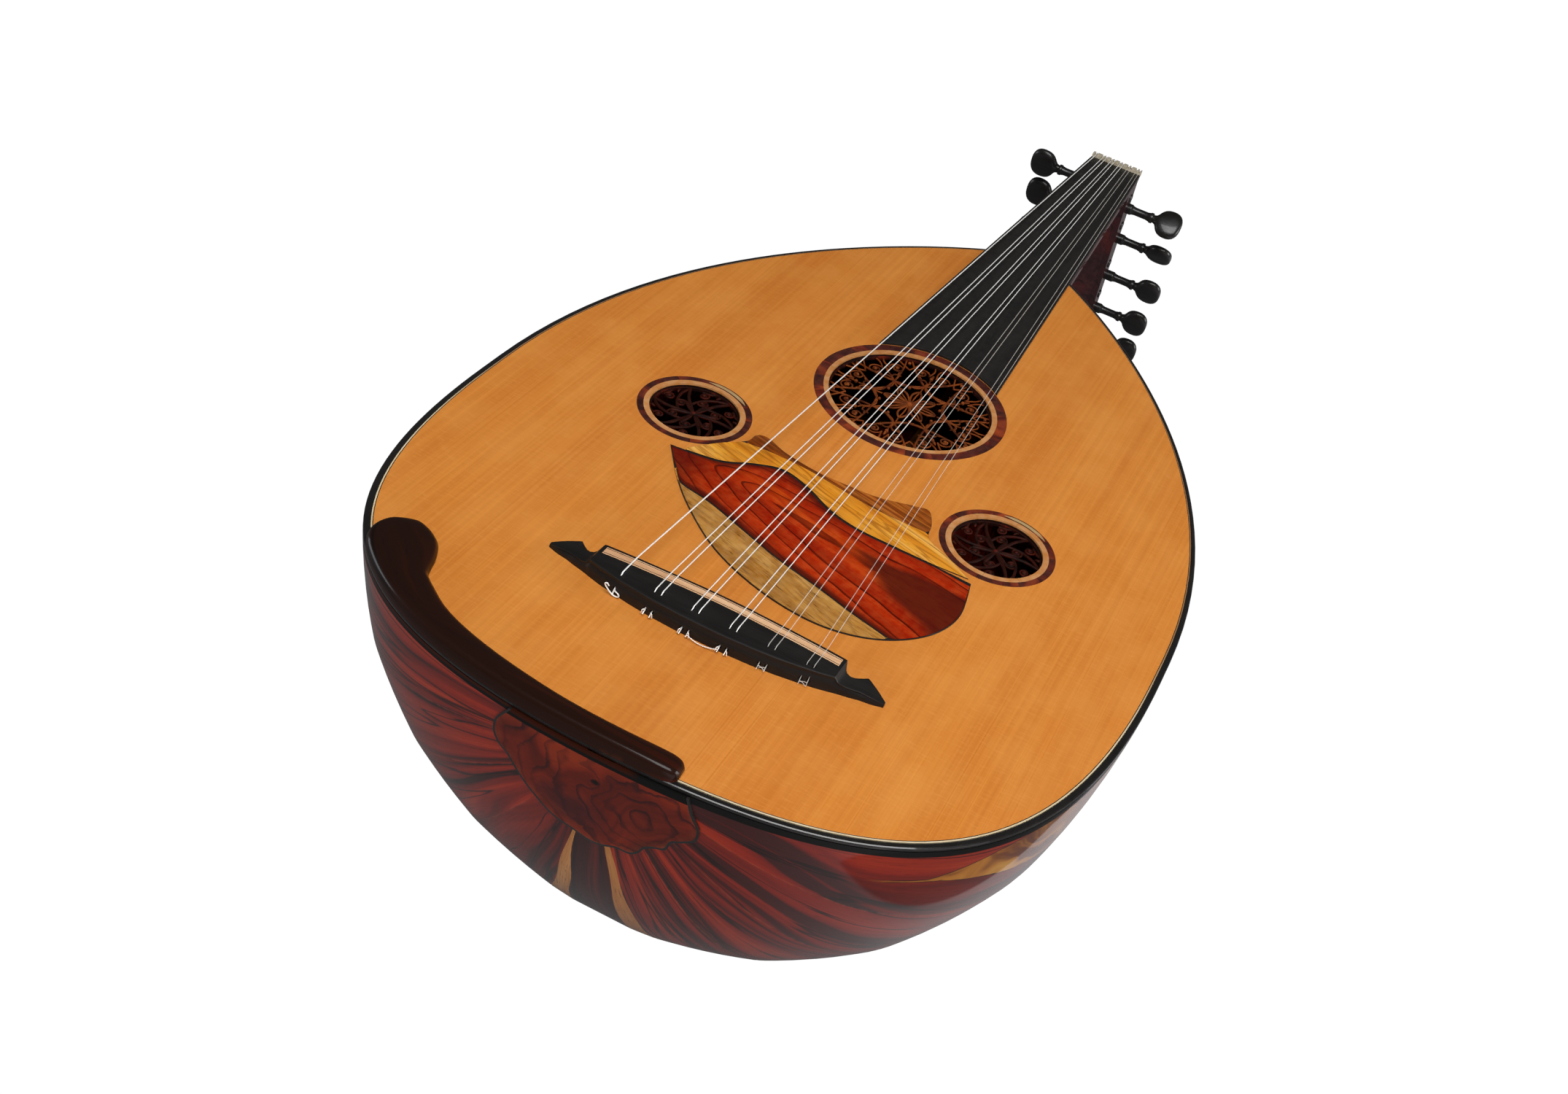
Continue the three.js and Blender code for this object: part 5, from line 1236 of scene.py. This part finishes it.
# Guard plate: a leaf of red heartwood with a tan crescent, and a wave of yellow and brown wood above it
guardSetup = {"half": 80.0, "place": 91.0, "leafDeep": -71.0, "waveTall": 37.0, "thick": 0.6, "gap": 0.3,
              "leafBorder": 0.6, "waveBorder": 0.14, "topLine": 0.8}
leafLowerKnots = [(-0.94, 0), (-0.75, 0.3), (-0.56, 0.53), (-0.31, 0.76), (-0.04, 0.91), (0.23, 0.99), (0.47, 1),
                  (0.69, 0.93), (0.87, 0.79), (1, 0.59), (1.05, 0.34), (1, 0.01)]
leafUpperKnots = [(0.77, 0.01), (0.5, 0.01), (0.27, 0.03), (0.08, 0.14), (-0.13, 0.39), (-0.31, 0.5),
                  (-0.47, 0.36), (-0.62, 0.14), (-0.78, 0.05), (-0.94, 0)]
waveUpperKnots = [(-0.85, 0.08), (-0.73, 0.45), (-0.61, 0.74), (-0.59, 0.95), (-0.52, 1), (-0.37, 0.86),
                  (-0.14, 0.77), (0.08, 0.78), (0.26, 0.82), (0.47, 0.98), (0.55, 1), (0.61, 0.76), (0.65, 0.46),
                  (0.81, 0.27), (0.97, 0.05)]
crescentLine = [(-65.0, 77.2), (-61.6, 72.6), (-56.0, 67.6), (-39.1, 63.7), (-18, 55.7), (2.6, 48), (24.7, 42.1),
                (43.5, 36.4), (58.0, 32.7), (64.2, 31.0)]
brownLine = [(-48.6, 117.0), (-38.0, 118.2), (-22.9, 118.4), (-7.1, 116.6), (16.8, 112.3), (31.7, 111.4),
             (50.6, 111.6)]


def guardEdge(knots, deep):
    points = [(along * guardSetup["half"], guardSetup["place"] + off * guardSetup[deep], 0) for along, off in knots]
    return [(p.x, p.y) for p in splineThrough(points, 8)]


def nearest(line, spot):
    return min(range(len(line)), key=lambda i: math.hypot(line[i][0] - spot[0], line[i][1] - spot[1]))


def pulledIn(outline, depth):  # the outline moved inwards by an even depth
    area = sum(a[0] * b[1] - b[0] * a[1] for a, b in zip(outline, outline[1:] + outline[:1]))
    side = 1 if area > 0 else -1
    line = []
    for i, spot in enumerate(outline):
        a, b = outline[i - 1], outline[(i + 1) % len(outline)]
        run = Vector((b[0] - a[0], b[1] - a[1]))
        if run.length < 1e-6:
            continue
        run.normalize()
        line.append((spot[0] - side * run.y * depth, spot[1] + side * run.x * depth))
    return line


leafLower, leafUpper = guardEdge(leafLowerKnots, "leafDeep"), guardEdge(leafUpperKnots, "waveTall")
waveUpper = guardEdge(waveUpperKnots, "waveTall")
waveLower = [(x, y + guardSetup["gap"]) for x, y in leafUpper if waveUpper[0][0] < x < waveUpper[-1][0]]
divide = [(p.x, p.y) for p in splineThrough([(x, y, 0) for x, y in crescentLine], 6)]
first, last = nearest(leafLower, divide[0]), nearest(leafLower, divide[-1])
crescent = leafLower[first + 1:last] + list(reversed(divide[1:-1]))
heartTop = [(x, y - guardSetup["topLine"]) for x, y in leafUpper[:-1]]
heart = leafLower[:first] + divide[1:-1] + leafLower[last + 1:-1] + heartTop
brownCut = [(p.x, p.y) for p in splineThrough([(x, y, 0) for x, y in brownLine], 6)]
first, last = nearest(waveUpper, brownCut[0]), nearest(waveUpper, brownCut[-1])
brown = waveUpper[first + 1:last] + list(reversed(brownCut[1:-1]))
yellow = waveUpper[:first] + brownCut[1:-1] + waveUpper[last + 1:] + waveLower


def lineHeight(across, line, count=14):  # how far up a line of the plate lies at a place across it, in metres
    picked = sorted({line[round(i * (len(line) - 1) / (count - 1))] for i in range(count)})
    half, low, tall = guardSetup["half"], 20.0, 100.0
    grey = ramp(plus(times(across, 500 / half), 0.5),
                [(x / (2 * half) + 0.5, ((y - low) / tall,) * 3) for x, y in picked])
    return plus(times(grey, tall / 1000), low / 1000)


def heartFigure():  # growth rings cut flat: nested arches that open along the leaf, and a dark wedge at its end
    figure = {"x": -21.0, "y": 84.0, "lean": -0.25, "narrow": 4.6, "spacing": 0.031, "wander": 0.034,
              "grown": (0.2, 0.008, 0.0015), "streak": (0.15, 0.007, 0.002), "late": (0.04, 0.004, 0.002),
              "shade": (0.045, 0.006, 0.004)}
    material, tree, shader, result = woodMaterial("guardHeartwood", heartwood)
    where = framePlace(tree)
    moved = node(tree, "ShaderNodeMapping", {0: where, 1: at(figure["x"], figure["y"]), 2: (0, 0, figure["lean"])},
                 vector_type="TEXTURE").outputs[0]
    bend = noise(stretched(moved, (18.0, 60.0, 1.0)), rough=0.4)
    wobble = times(minus(bend, 0.5), figure["wander"])
    reach = vectorMath("LENGTH", vectorMath("MULTIPLY", moved, (1.0, figure["narrow"], 0.0)))
    arch = plus(minus(reach, split(moved)[0]), wobble)
    year = maths("FRACT", maths("DIVIDE", arch, figure["spacing"]))  # each ring darkens to a sharp late edge
    late = times(between(year, 0.84, 0.94, smooth=True), between(year, 1.0, 0.96, smooth=True))
    streaks = noise(stretched(moved, (30.0, 900.0, 1.0)), detail=3.0, rough=0.6)
    lined = blend(times(between(year, 0.15, 1.0, smooth=True), 0.45), result, figure["grown"])
    lined = blend(between(streaks, 0.5, 0.75, 0.0, 0.5), lined, figure["streak"])
    lined = blend(times(late, between(bend, 0.35, 0.6, 0.5, 0.95)), lined, figure["late"])
    x, length, _ = split(where)
    y = minus(plus(length, times(wobble, 0.3)), bridgeLine)
    slanted = plus(y, times(x, 0.65))
    wedge = times(between(y, 0.081, 0.076, smooth=True), between(slanted, 0.089, 0.099, smooth=True))
    tip = between(x, -0.045, -0.066, smooth=True)
    fromTop, fromLow = minus(lineHeight(x, leafUpper), y), minus(y, lineHeight(x, divide))
    topShade = times(between(fromTop, 0.0075, 0.001, 0.0, 0.85, smooth=True), between(x, 0.022, 0.0, 0.2, 1.0))
    lowShade = between(fromLow, 0.0045, 0.0008, 0.0, 0.85, smooth=True)
    shade = maths("MAXIMUM", maths("MAXIMUM", times(tip, 0.6), times(wedge, 0.85)),
                  maths("MAXIMUM", topShade, lowShade))
    feed(blend(shade, lined, figure["shade"]), shader.inputs["Base Color"])
    return material


guardBlack = woodFinish("guardLines", {**ebony, "rough": 0.3, "coat": 0.6, "coatRough": 0.08})
guardTan = woodFinish("guardTan", tanWood)
guardYellow = woodFinish("guardYellow", yellowWood)
guardBrown = woodFinish("guardBrown", brownWood)
leafBase = [*leafLower, *leafUpper[1:-1]]
waveBase = [*waveUpper, *waveLower]
for name, outline, border, low, high, finish, slot, replaced in (
        ("guardLeafEdge", leafBase, 0, 0.0, 0.5, guardBlack, "black_wood", "guard_leaf"),
        ("guardHeart", heart, guardSetup["leafBorder"], 0.1, 0.6, heartFigure(), "guard_red", "guard_leaf"),
        ("guardCrescent", crescent, guardSetup["leafBorder"], 0.1, 0.6, guardTan, "guard_pale", "guard_leaf"),
        ("guardWaveEdge", waveBase, 0, 0.0, 0.5, guardBlack, "black_wood", "guard_wave"),
        ("guardYellow", yellow, guardSetup["waveBorder"], 0.1, 0.6, guardYellow, "guard_pale", "guard_wave"),
        ("guardBrown", brown, guardSetup["waveBorder"], 0.1, 0.6, guardBrown, "guard_pale", "guard_wave")):
    shape = pulledIn(outline, border) if border else outline
    addPiece(name, flatPlate(shape, [], low, high, 0.08), finish, slot, replaced)
print("guard plate ready")

# Neck with its slanting end, and the fingerboard with its hollowed end
neckSetup = {"start": 400.0, "back": 589.0, "halfStart": 27.5, "halfEnd": 17.8, "deepEnd": 18.0, "sides": 40,
             "stations": 14, "board": 1.5, "ringGap": 0.2}


def neckHalf(y):
    return mix(neckSetup["halfEnd"], neckSetup["halfStart"],
               (neckSetup["back"] - y) / (neckSetup["back"] - neckSetup["start"]))


def neckMesh():
    rings = []
    deepStart = bodyPlan["bowl"] / bodyPlan["half"] * neckSetup["halfStart"]
    for k, y in enumerate(spread(neckSetup["start"], neckSetup["back"] - 20.0, neckSetup["stations"])):
        half = neckHalf(y)
        deep = mix(deepStart, neckSetup["deepEnd"],
                   (y - neckSetup["start"]) / (neckSetup["back"] - neckSetup["start"]))
        ring = [Vector((-half, y, 0))]
        for i in range(neckSetup["sides"] + 1):
            turn = i / neckSetup["sides"] * math.pi
            ring.append(Vector((-half * math.cos(turn), y, -2 - deep * math.sin(turn))))
        ring.append(Vector((half, y, 0)))
        if k == neckSetup["stations"] - 1:
            for p in ring:
                p.y = neckSetup["back"] - (20.1 + p.z * boxOut.z) / boxOut.y
        rings.append([at(*p) for p in ring])
    return loft(rings, sharp=40)


neckDark = woodFinish("neckRosewood", neckWood)
addPiece("neckBody", neckMesh(), neckDark, "neck_wood", "neck")
hollowRadius = soundHoles["main"]["ring"] + neckSetup["ringGap"]
endHalf = neckHalf(soundHoles["main"]["y"] + hollowRadius)
reach = math.asin(endHalf / hollowRadius)
fingerboardLine = [(-neckHalf(585), 585), (neckHalf(585), 585)]
fingerboardLine += [(hollowRadius * math.sin(t), soundHoles["main"]["y"] + hollowRadius * math.cos(t))
             for t in spread(reach, -reach, 40)]
boardBlack = woodFinish("fingerboardEbony", {**ebony, "rough": 0.42, "coat": 0.15, "coatRough": 0.3})
addPiece("fingerboardPlate", flatPlate(fingerboardLine, [], 0, neckSetup["board"], 0.2), boardBlack, "black_wood",
         "fingerboard")

boneWood = {"rough": 0.35, "coat": 0.3, "coatRough": 0.15, "turn": (0, 0, 0), "along": 30.0, "across": 240.0,
            "wander": 0.6, "fibre": 1400.0,
            "bands": [(0.0, (0.27, 0.22, 0.14)), (0.6, (0.36, 0.3, 0.2)), (1.0, (0.44, 0.38, 0.27))], "cloud": 0.3,
            "cloudColour": (0.7, 0.6, 0.42), "fibreTint": 0.25, "fibreColour": (0.52, 0.42, 0.27), "pores": 0.2,
            "poreColour": (0.4, 0.3, 0.18), "edge": 0.3, "wornColour": (0.88, 0.84, 0.74), "bump": 0.05}


def refinish(nodeName, material, width=0.0):  # a CAD node that keeps its shape
    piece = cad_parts[nodeName]
    for place in piece.material_slots:
        place.material = material
    return softEdges(piece, width) if width else piece


bone = woodFinish("nutBone", boneWood)
refinish("nut", bone, 0.25)

# Pegbox: two cheeks bored for the pegs, a floor with the head block, and the tip
boxDark = woodFinish("pegboxRosewood", boxWood)
setback = pegboxSetup["setback"]
slant = math.cos(pegboxSetup["angle"]) / math.sin(pegboxSetup["angle"])
cheekLine = [(-setback * boxDown.y, -setback * boxOut.y), (pegboxSetup["scoop"], -pegboxSetup["frontDrop"])]
cheekLine += [(u, -pegboxSetup["frontDrop"]) for u in spread(20, pegboxSetup["length"], 9)]
cheekLine += [(u, -boxDeep(u)) for u in spread(pegboxSetup["length"], 12, 9)]
cheekLine += [(-pegboxSetup["topDeep"] * slant, -pegboxSetup["topDeep"])]
bores = []
for peg in pegs:
    ends = [(-2 * boxHalf(peg["u"]) - 6, pegSetup["thin"]), (pegSetup["shoulder"], pegSetup["thick"])]
    bores.append(([pegPlace(peg, x, 0, 0) for x, _ in ends], [(r + pegSetup["room"]) / 1000 for _, r in ends]))
for name, side in (("bass", -1), ("treble", 1)):
    rings = []
    for depth in (0, pegboxSetup["cheek"]):
        rings.append([at(*boxPoint(side * (boxHalf(u) - depth), u, v)) for u, v in cheekLine])
    cheek = newPiece(f"pegboxCheek_{name}", loft(rings, sharp=30))
    carve(cheek, strokesMesh(bores, sides=36))
    finishMesh(cheek.data, 30)
    dress(softEdges(cheek, 0.5), boxDark, "neck_wood", f"pegbox_cheek_{name}")
refinish("pegbox_floor", boxDark, 0.3)
refinish("pegbox_tip", boxDark, 0.6)
print("neck and pegbox ready")

# Tail clasp: a thin burl shell over the rib ends, with a dark line along its wavy edge
claspSetup = {"gap": 0.2, "thick": 1.2, "columns": 220, "rows": 14, "line": 1.1}
claspEdge = [(0, 40.5), (6, 43.5), (11, 46.8), (19, 49.0), (26, 48.3), (32, 45.8), (44, 45.4), (58, 45.8),
             (71, 47.1), (82, 46.7), (91, 48.1), (97, 48.1), (102, 47.0), (107, 46.5), (113, 48.0), (118, 46.9),
             (123.5, 44.3), (129.5, 44.4), (135.2, 45.9), (142, 43.8), (148, 45.7), (155, 48.0), (162, 46.1),
             (166, 42.8), (170.5, 40.1), (180, 37.4)]


def claspReach(degrees):  # how far the wavy edge lies from the tail, round the tail
    i = next(k for k in range(len(claspEdge) - 1) if degrees <= claspEdge[k + 1][0])
    near = [claspEdge[min(max(k, 0), len(claspEdge) - 1)][1] for k in (i - 1, i, i + 1, i + 2)]
    t = (degrees - claspEdge[i][0]) / (claspEdge[i + 1][0] - claspEdge[i][0])
    a, b, c, d = near
    return 0.5 * (2 * b + (c - a) * t + (2 * a - 5 * b + 4 * c - d) * t ** 2 + (3 * b - a - 3 * c + d) * t ** 3)


def tailShare(radius):
    low, high = 0.0, 1.0
    for _ in range(26):
        middle = (low + high) / 2
        low, high = (middle, high) if alongBezier(tailHandles, middle).x < radius else (low, middle)
    return low


def claspMesh(nearLine, high, low):
    rings, flow = [], []
    for column in range(claspSetup["columns"] + 1):
        degrees = column / claspSetup["columns"] * 180
        turn = math.radians(degrees)
        edge = claspReach(degrees)
        inner = tailShare(edge - claspSetup["line"])
        shares = spread(inner, tailShare(edge), 4) if nearLine else spread(0, inner, claspSetup["rows"])
        ring = []
        for proud, line in ((high, shares), (low, list(reversed(shares)))):
            for share in line:
                p = insetFrom(station(tailHandles, share), -proud)
                ring.append(at(*bowlPoint(p, degrees)))
                flow.append((p.x * math.cos(turn) / 1000, p.x * math.sin(turn) / 1000))
        rings.append(ring)
    return loft(rings, sharp=35, flow=flow)


def claspMaterial():  # burl: uneven growth lines that curl round an eye and a small knot, with painted light near its top edge and a painted shadow lower down
    figure = {"eye": (-0.0215, 0.019, 0.0), "knot": (-0.0003, 0.0134, 0.0), "shadow": (0.009, 0.0335, 0.0),
              "lines": 170.0, "swirl": 3.4, "around": 1.6, "ripple": 0.8, "warm": (0.19, 0.022, 0.007),
              "dark": (0.022, 0.006, 0.006), "shade": (0.018, 0.007, 0.009), "pit": (0.008, 0.004, 0.004)}
    material, tree, shader, result = woodMaterial("claspBurl", burlWood, flow=True)
    place = flowPlace(tree)

    def away(spot, stretch):
        return vectorMath("LENGTH", vectorMath("MULTIPLY", vectorMath("SUBTRACT", place, spot), stretch))

    def rough(scale, detail, share):
        return times(noise(place, scale, detail), share)

    toKnot = plus(away(figure["knot"], (0.8, 1.2, 0.0)), rough(700.0, 2.0, 0.0012))
    value = plus(times(away(figure["eye"], (0.75, 1.0, 0.0)), figure["lines"]), rough(48.0, 1.5, figure["swirl"]))
    value = plus(value, rough(170.0, 2.0, figure["ripple"]))
    year = maths("FRACT", plus(value, between(toKnot, 0.011, 0.0, 0.0, figure["around"], smooth=True)))
    line = times(between(year, 0.55, 0.9, smooth=True), between(year, 1.0, 0.92, smooth=True))
    shown = times(line, between(noise(place, 45.0), 0.34, 0.58, 0.25, 0.9))
    # Painted light: the shell is lighter and warmer near its top edge, under the board
    depthBelowLitTop = plus(away((0.0, 0.0, 0.0), (0.0, 1.0, 0.0)), rough(60.0, 2.0, 0.006))
    toShadow = plus(away(figure["shadow"], (0.62, 1.1, 0.0)), rough(120.0, 3.0, 0.01))
    for share, colour in ((between(depthBelowLitTop, 0.014, 0.004, 0.0, 0.5, smooth=True), "warm"), (shown, "dark"),
                          (between(toShadow, 0.019, 0.008, 0.0, 0.7, smooth=True), "shade"),
                          (between(toKnot, 0.0026, 0.0016), "pit")):
        result = blend(share, result, figure[colour])
    feed(rimmed(shader, result, burlWood["coat"]), shader.inputs["Base Color"])
    return material


claspFinish = claspMaterial()
top = claspSetup["gap"] + claspSetup["thick"]
addPiece("tailClasp", claspMesh(False, top, claspSetup["gap"]), claspFinish, "clasp_wood", "tail_clasp")
addPiece("tailClaspLine", claspMesh(True, top, claspSetup["gap"]), edgeBlack, "black_wood", "tail_clasp")

# Arm rest along the tail, on the bass side: share along the tail, outer and inner inset, height
armSetup = {"tall": 6.5, "grainAlong": 0.26, "grainAcross": 0.014, "grainUp": 0.006}
armKnots = [(-0.5605, 15.5, 19.5, 0.3), (-0.5575, 12.0, 21.8, 0.5), (-0.55, 8.8, 23.9, 0.68),
            (-0.537, 5.2, 25.8, 0.8), (-0.52, 2.3, 27.5, 0.88), (-0.5, 0.7, 28.6, 0.93), (-0.48, 0.1, 28.9, 0.96),
            (-0.455, 0, 28.0, 0.98), (-0.425, 0, 25.5, 1), (-0.402, 0, 22.3, 1), (-0.388, 0, 20.2, 1),
            (-0.378, 0, 19.2, 1), (-0.36, 0, 18.6, 1), (-0.33, 0, 17.6, 1), (-0.29, 0, 15.9, 1),
            (-0.25, 0, 15.0, 1), (-0.2, 0, 14.4, 1), (-0.12, 0, 13.5, 1), (-0.06, 0, 12.6, 1), (0.0, 0, 12.3, 1),
            (0.03, 0, 12.3, 0.99), (0.055, 0, 12.3, 0.95), (0.067, 0.3, 12.0, 0.86), (0.075, 1.2, 11.1, 0.7),
            (0.0795, 3.0, 9.3, 0.42)]
armSection = [(0, 0.5), (0.05, 0.82), (0.16, 0.985), (0.34, 1), (0.6, 0.93), (0.84, 0.78), (0.95, 0.56), (1, 0.2)]


def armrestMesh():
    rings, flow = [], []
    section = [(0, 0), *[(p.x, p.y) for p in splineThrough([(a, b, 0) for a, b in armSection], 5)], (1, 0)]
    inner = splineThrough([(share, far, 0) for share, _, far, _ in armKnots], 4)
    for knot, far in zip(splineThrough([(share, near, tall) for share, near, _, tall in armKnots], 4), inner):
        place = station(tailHandles, abs(knot.x))
        side = -1 if knot.x < 0 else 1
        ring = []
        for across, up in section:
            p = insetFrom(place, mix(max(knot.y, 0.0), far.y, across))
            ring.append(at(side * p.x, p.y, up * knot.z * armSetup["tall"]))
            flow.append((knot.x * armSetup["grainAlong"],
                         across * armSetup["grainAcross"] + up * armSetup["grainUp"]))
        rings.append(ring)
    return loft(rings, sharp=40, flow=flow)


armFinish = woodFinish("armrestRosewood", armWood, flow=True)
dress(softEdges(newPiece("armrestBar", armrestMesh()), 0.5, 3, 50), armFinish, "armrest_wood", "armrest")

# Blocks and braces inside the bowl stay bare wood
bare = woodFinish("bareWood", rawWood)
for name in ("neck_block", "tail_block", "brace_1", "brace_2", "brace_3", "brace_4"):
    refinish(name, bare, 0.5)
print("clasp, arm rest and blocks ready")

# Camera where the photographer stood
cameraSetup = {"lens": 39.36, "sensor": 36.0, "shiftX": -0.05124, "shiftY": 0.00738}
camera = bpy.data.objects.new("camera", bpy.data.cameras.new("camera"))
scene.collection.objects.link(camera)
camera.data.lens = cameraSetup["lens"]
camera.data.sensor_width = cameraSetup["sensor"]
camera.data.shift_x = cameraSetup["shiftX"]
camera.data.shift_y = cameraSetup["shiftY"]
camera.data.clip_start = 0.01
camera.matrix_world = Matrix((
    (0.89081895, -0.4140979, 0.18698802, 0.17629),
    (0.39262297, 0.49445048, -0.77547788, -0.60995),
    (0.22866745, 0.76422618, 0.6030502, 0.635402),
    (0, 0, 0, 1)))
scene.camera = camera

# A plain pale floor, a dim even surround and large soft lights
lightSetup = {"surround": 0.06, "backdrop": 1.0, "floorNear": 0.12, "floorLight": 0.55, "floorGlow": 1.02,
              "floorHalf": 4.0, "floorGap": 0.0004, "dark": (0.06, 0.06, 0.06), "pale": (0.2, 0.2, 0.2),
              "glow": (1.0, 0.94, 0.97), "slant": 0.25, "edge": (0.243, 0.25), "front": (-0.29, -0.282)}


def brightToCamera(tree, dim, bright):  # the backdrop shows white, and throws less light on the instrument
    seen = node(tree, "ShaderNodeLightPath").outputs["Is Camera Ray"]
    mixed = node(tree, "ShaderNodeMixShader", {0: seen})
    tree.links.new(dim.outputs[0], mixed.inputs[1])
    tree.links.new(bright.outputs[0], mixed.inputs[2])
    return mixed.outputs[0]


world = bpy.data.worlds.new("surround")
scene.world = world
world.use_nodes = True
sky = world.node_tree
sky.nodes.clear()
dim = node(sky, "ShaderNodeBackground", {0: (1.0, 0.995, 0.985, 1.0), 1: lightSetup["surround"]})
bright = node(sky, "ShaderNodeBackground", {0: (1.0, 1.0, 1.0, 1.0), 1: lightSetup["backdrop"]})
sky.links.new(brightToCamera(sky, dim, bright), node(sky, "ShaderNodeOutputWorld").inputs[0])
scene.view_settings.view_transform = "Standard"

floorMesh = bpy.data.meshes.new("studioFloor")
side, floorLevel = lightSetup["floorHalf"], cadLow.z - lightSetup["floorGap"]
corners = [(x * side, y * side, floorLevel) for x, y in ((-1, -1), (1, -1), (1, 1), (-1, 1))]
floorMesh.from_pydata(corners, [], [(0, 1, 2, 3)])
floor = bpy.data.objects.new("studioFloor", floorMesh)
scene.collection.objects.link(floor)
floorFinish, floorTree, floorShader = startMaterial("studioFloor", 0.9)
across, along, _ = split(framePlace(floorTree))
# To reflections and bounced light the floor is painted light: a glow, dim near the oud, brighter to its right and
# cut off further right
rise = between(across, 0.05, 0.36, lightSetup["floorNear"], 1.0, smooth=True)
# The lit paper ends to the right of the oud
paperEnd = times(between(minus(across, times(along, lightSetup["slant"])), *lightSetup["edge"], smooth=True),
                 between(along, *lightSetup["front"], smooth=True))
lit = times(rise, minus(1.0, times(paperEnd, 0.95)))
feed(blend(lit, lightSetup["dark"], lightSetup["pale"]), floorShader.inputs["Base Color"])
feed(blend(lit, (0, 0, 0), lightSetup["glow"]), floorShader.inputs["Emission Color"])
floorShader.inputs["Emission Strength"].default_value = lightSetup["floorLight"]
glow = node(floorTree, "ShaderNodeEmission", {0: (1.0, 1.0, 1.0, 1.0), 1: lightSetup["floorGlow"]})
surface = next(n for n in floorTree.nodes if n.bl_idname == "ShaderNodeOutputMaterial").inputs["Surface"]
feed(brightToCamera(floorTree, floorShader, glow), surface)
floorMesh.materials.append(floorFinish)


def softbox(name, place, aim, wide, high, power, colour=(1, 1, 1), mirrored=True):
    lamp = bpy.data.lights.new(name, "AREA")
    lamp.shape = "RECTANGLE"
    lamp.size, lamp.size_y = wide, high
    lamp.energy = power
    lamp.color = colour
    holder = bpy.data.objects.new(name, lamp)
    scene.collection.objects.link(holder)
    holder.location = place
    holder.rotation_euler = (Vector(aim) - Vector(place)).to_track_quat("-Z", "Y").to_euler()
    holder.visible_glossy = mirrored
    return holder


softbox("keyLight", (0.25, -0.5, 1.6), (0.0, 0.12, 0.15), 1.1, 0.9, 23.0)
softbox("rightLight", (1.5, 0.5, 0.5), (0.0, 0.0, 0.08), 1.0, 0.7, 14.0)
softbox("leftLight", (-1.6, -0.2, 0.35), (0.0, 0.0, 0.08), 0.9, 0.5, 5.0, (0.9, 0.94, 1.0))
softbox("frontLight", (0.5, -1.7, 0.3), (0.0, -0.1, 0.08), 1.4, 0.5, 18.0, mirrored=False)
print("camera and lights ready")
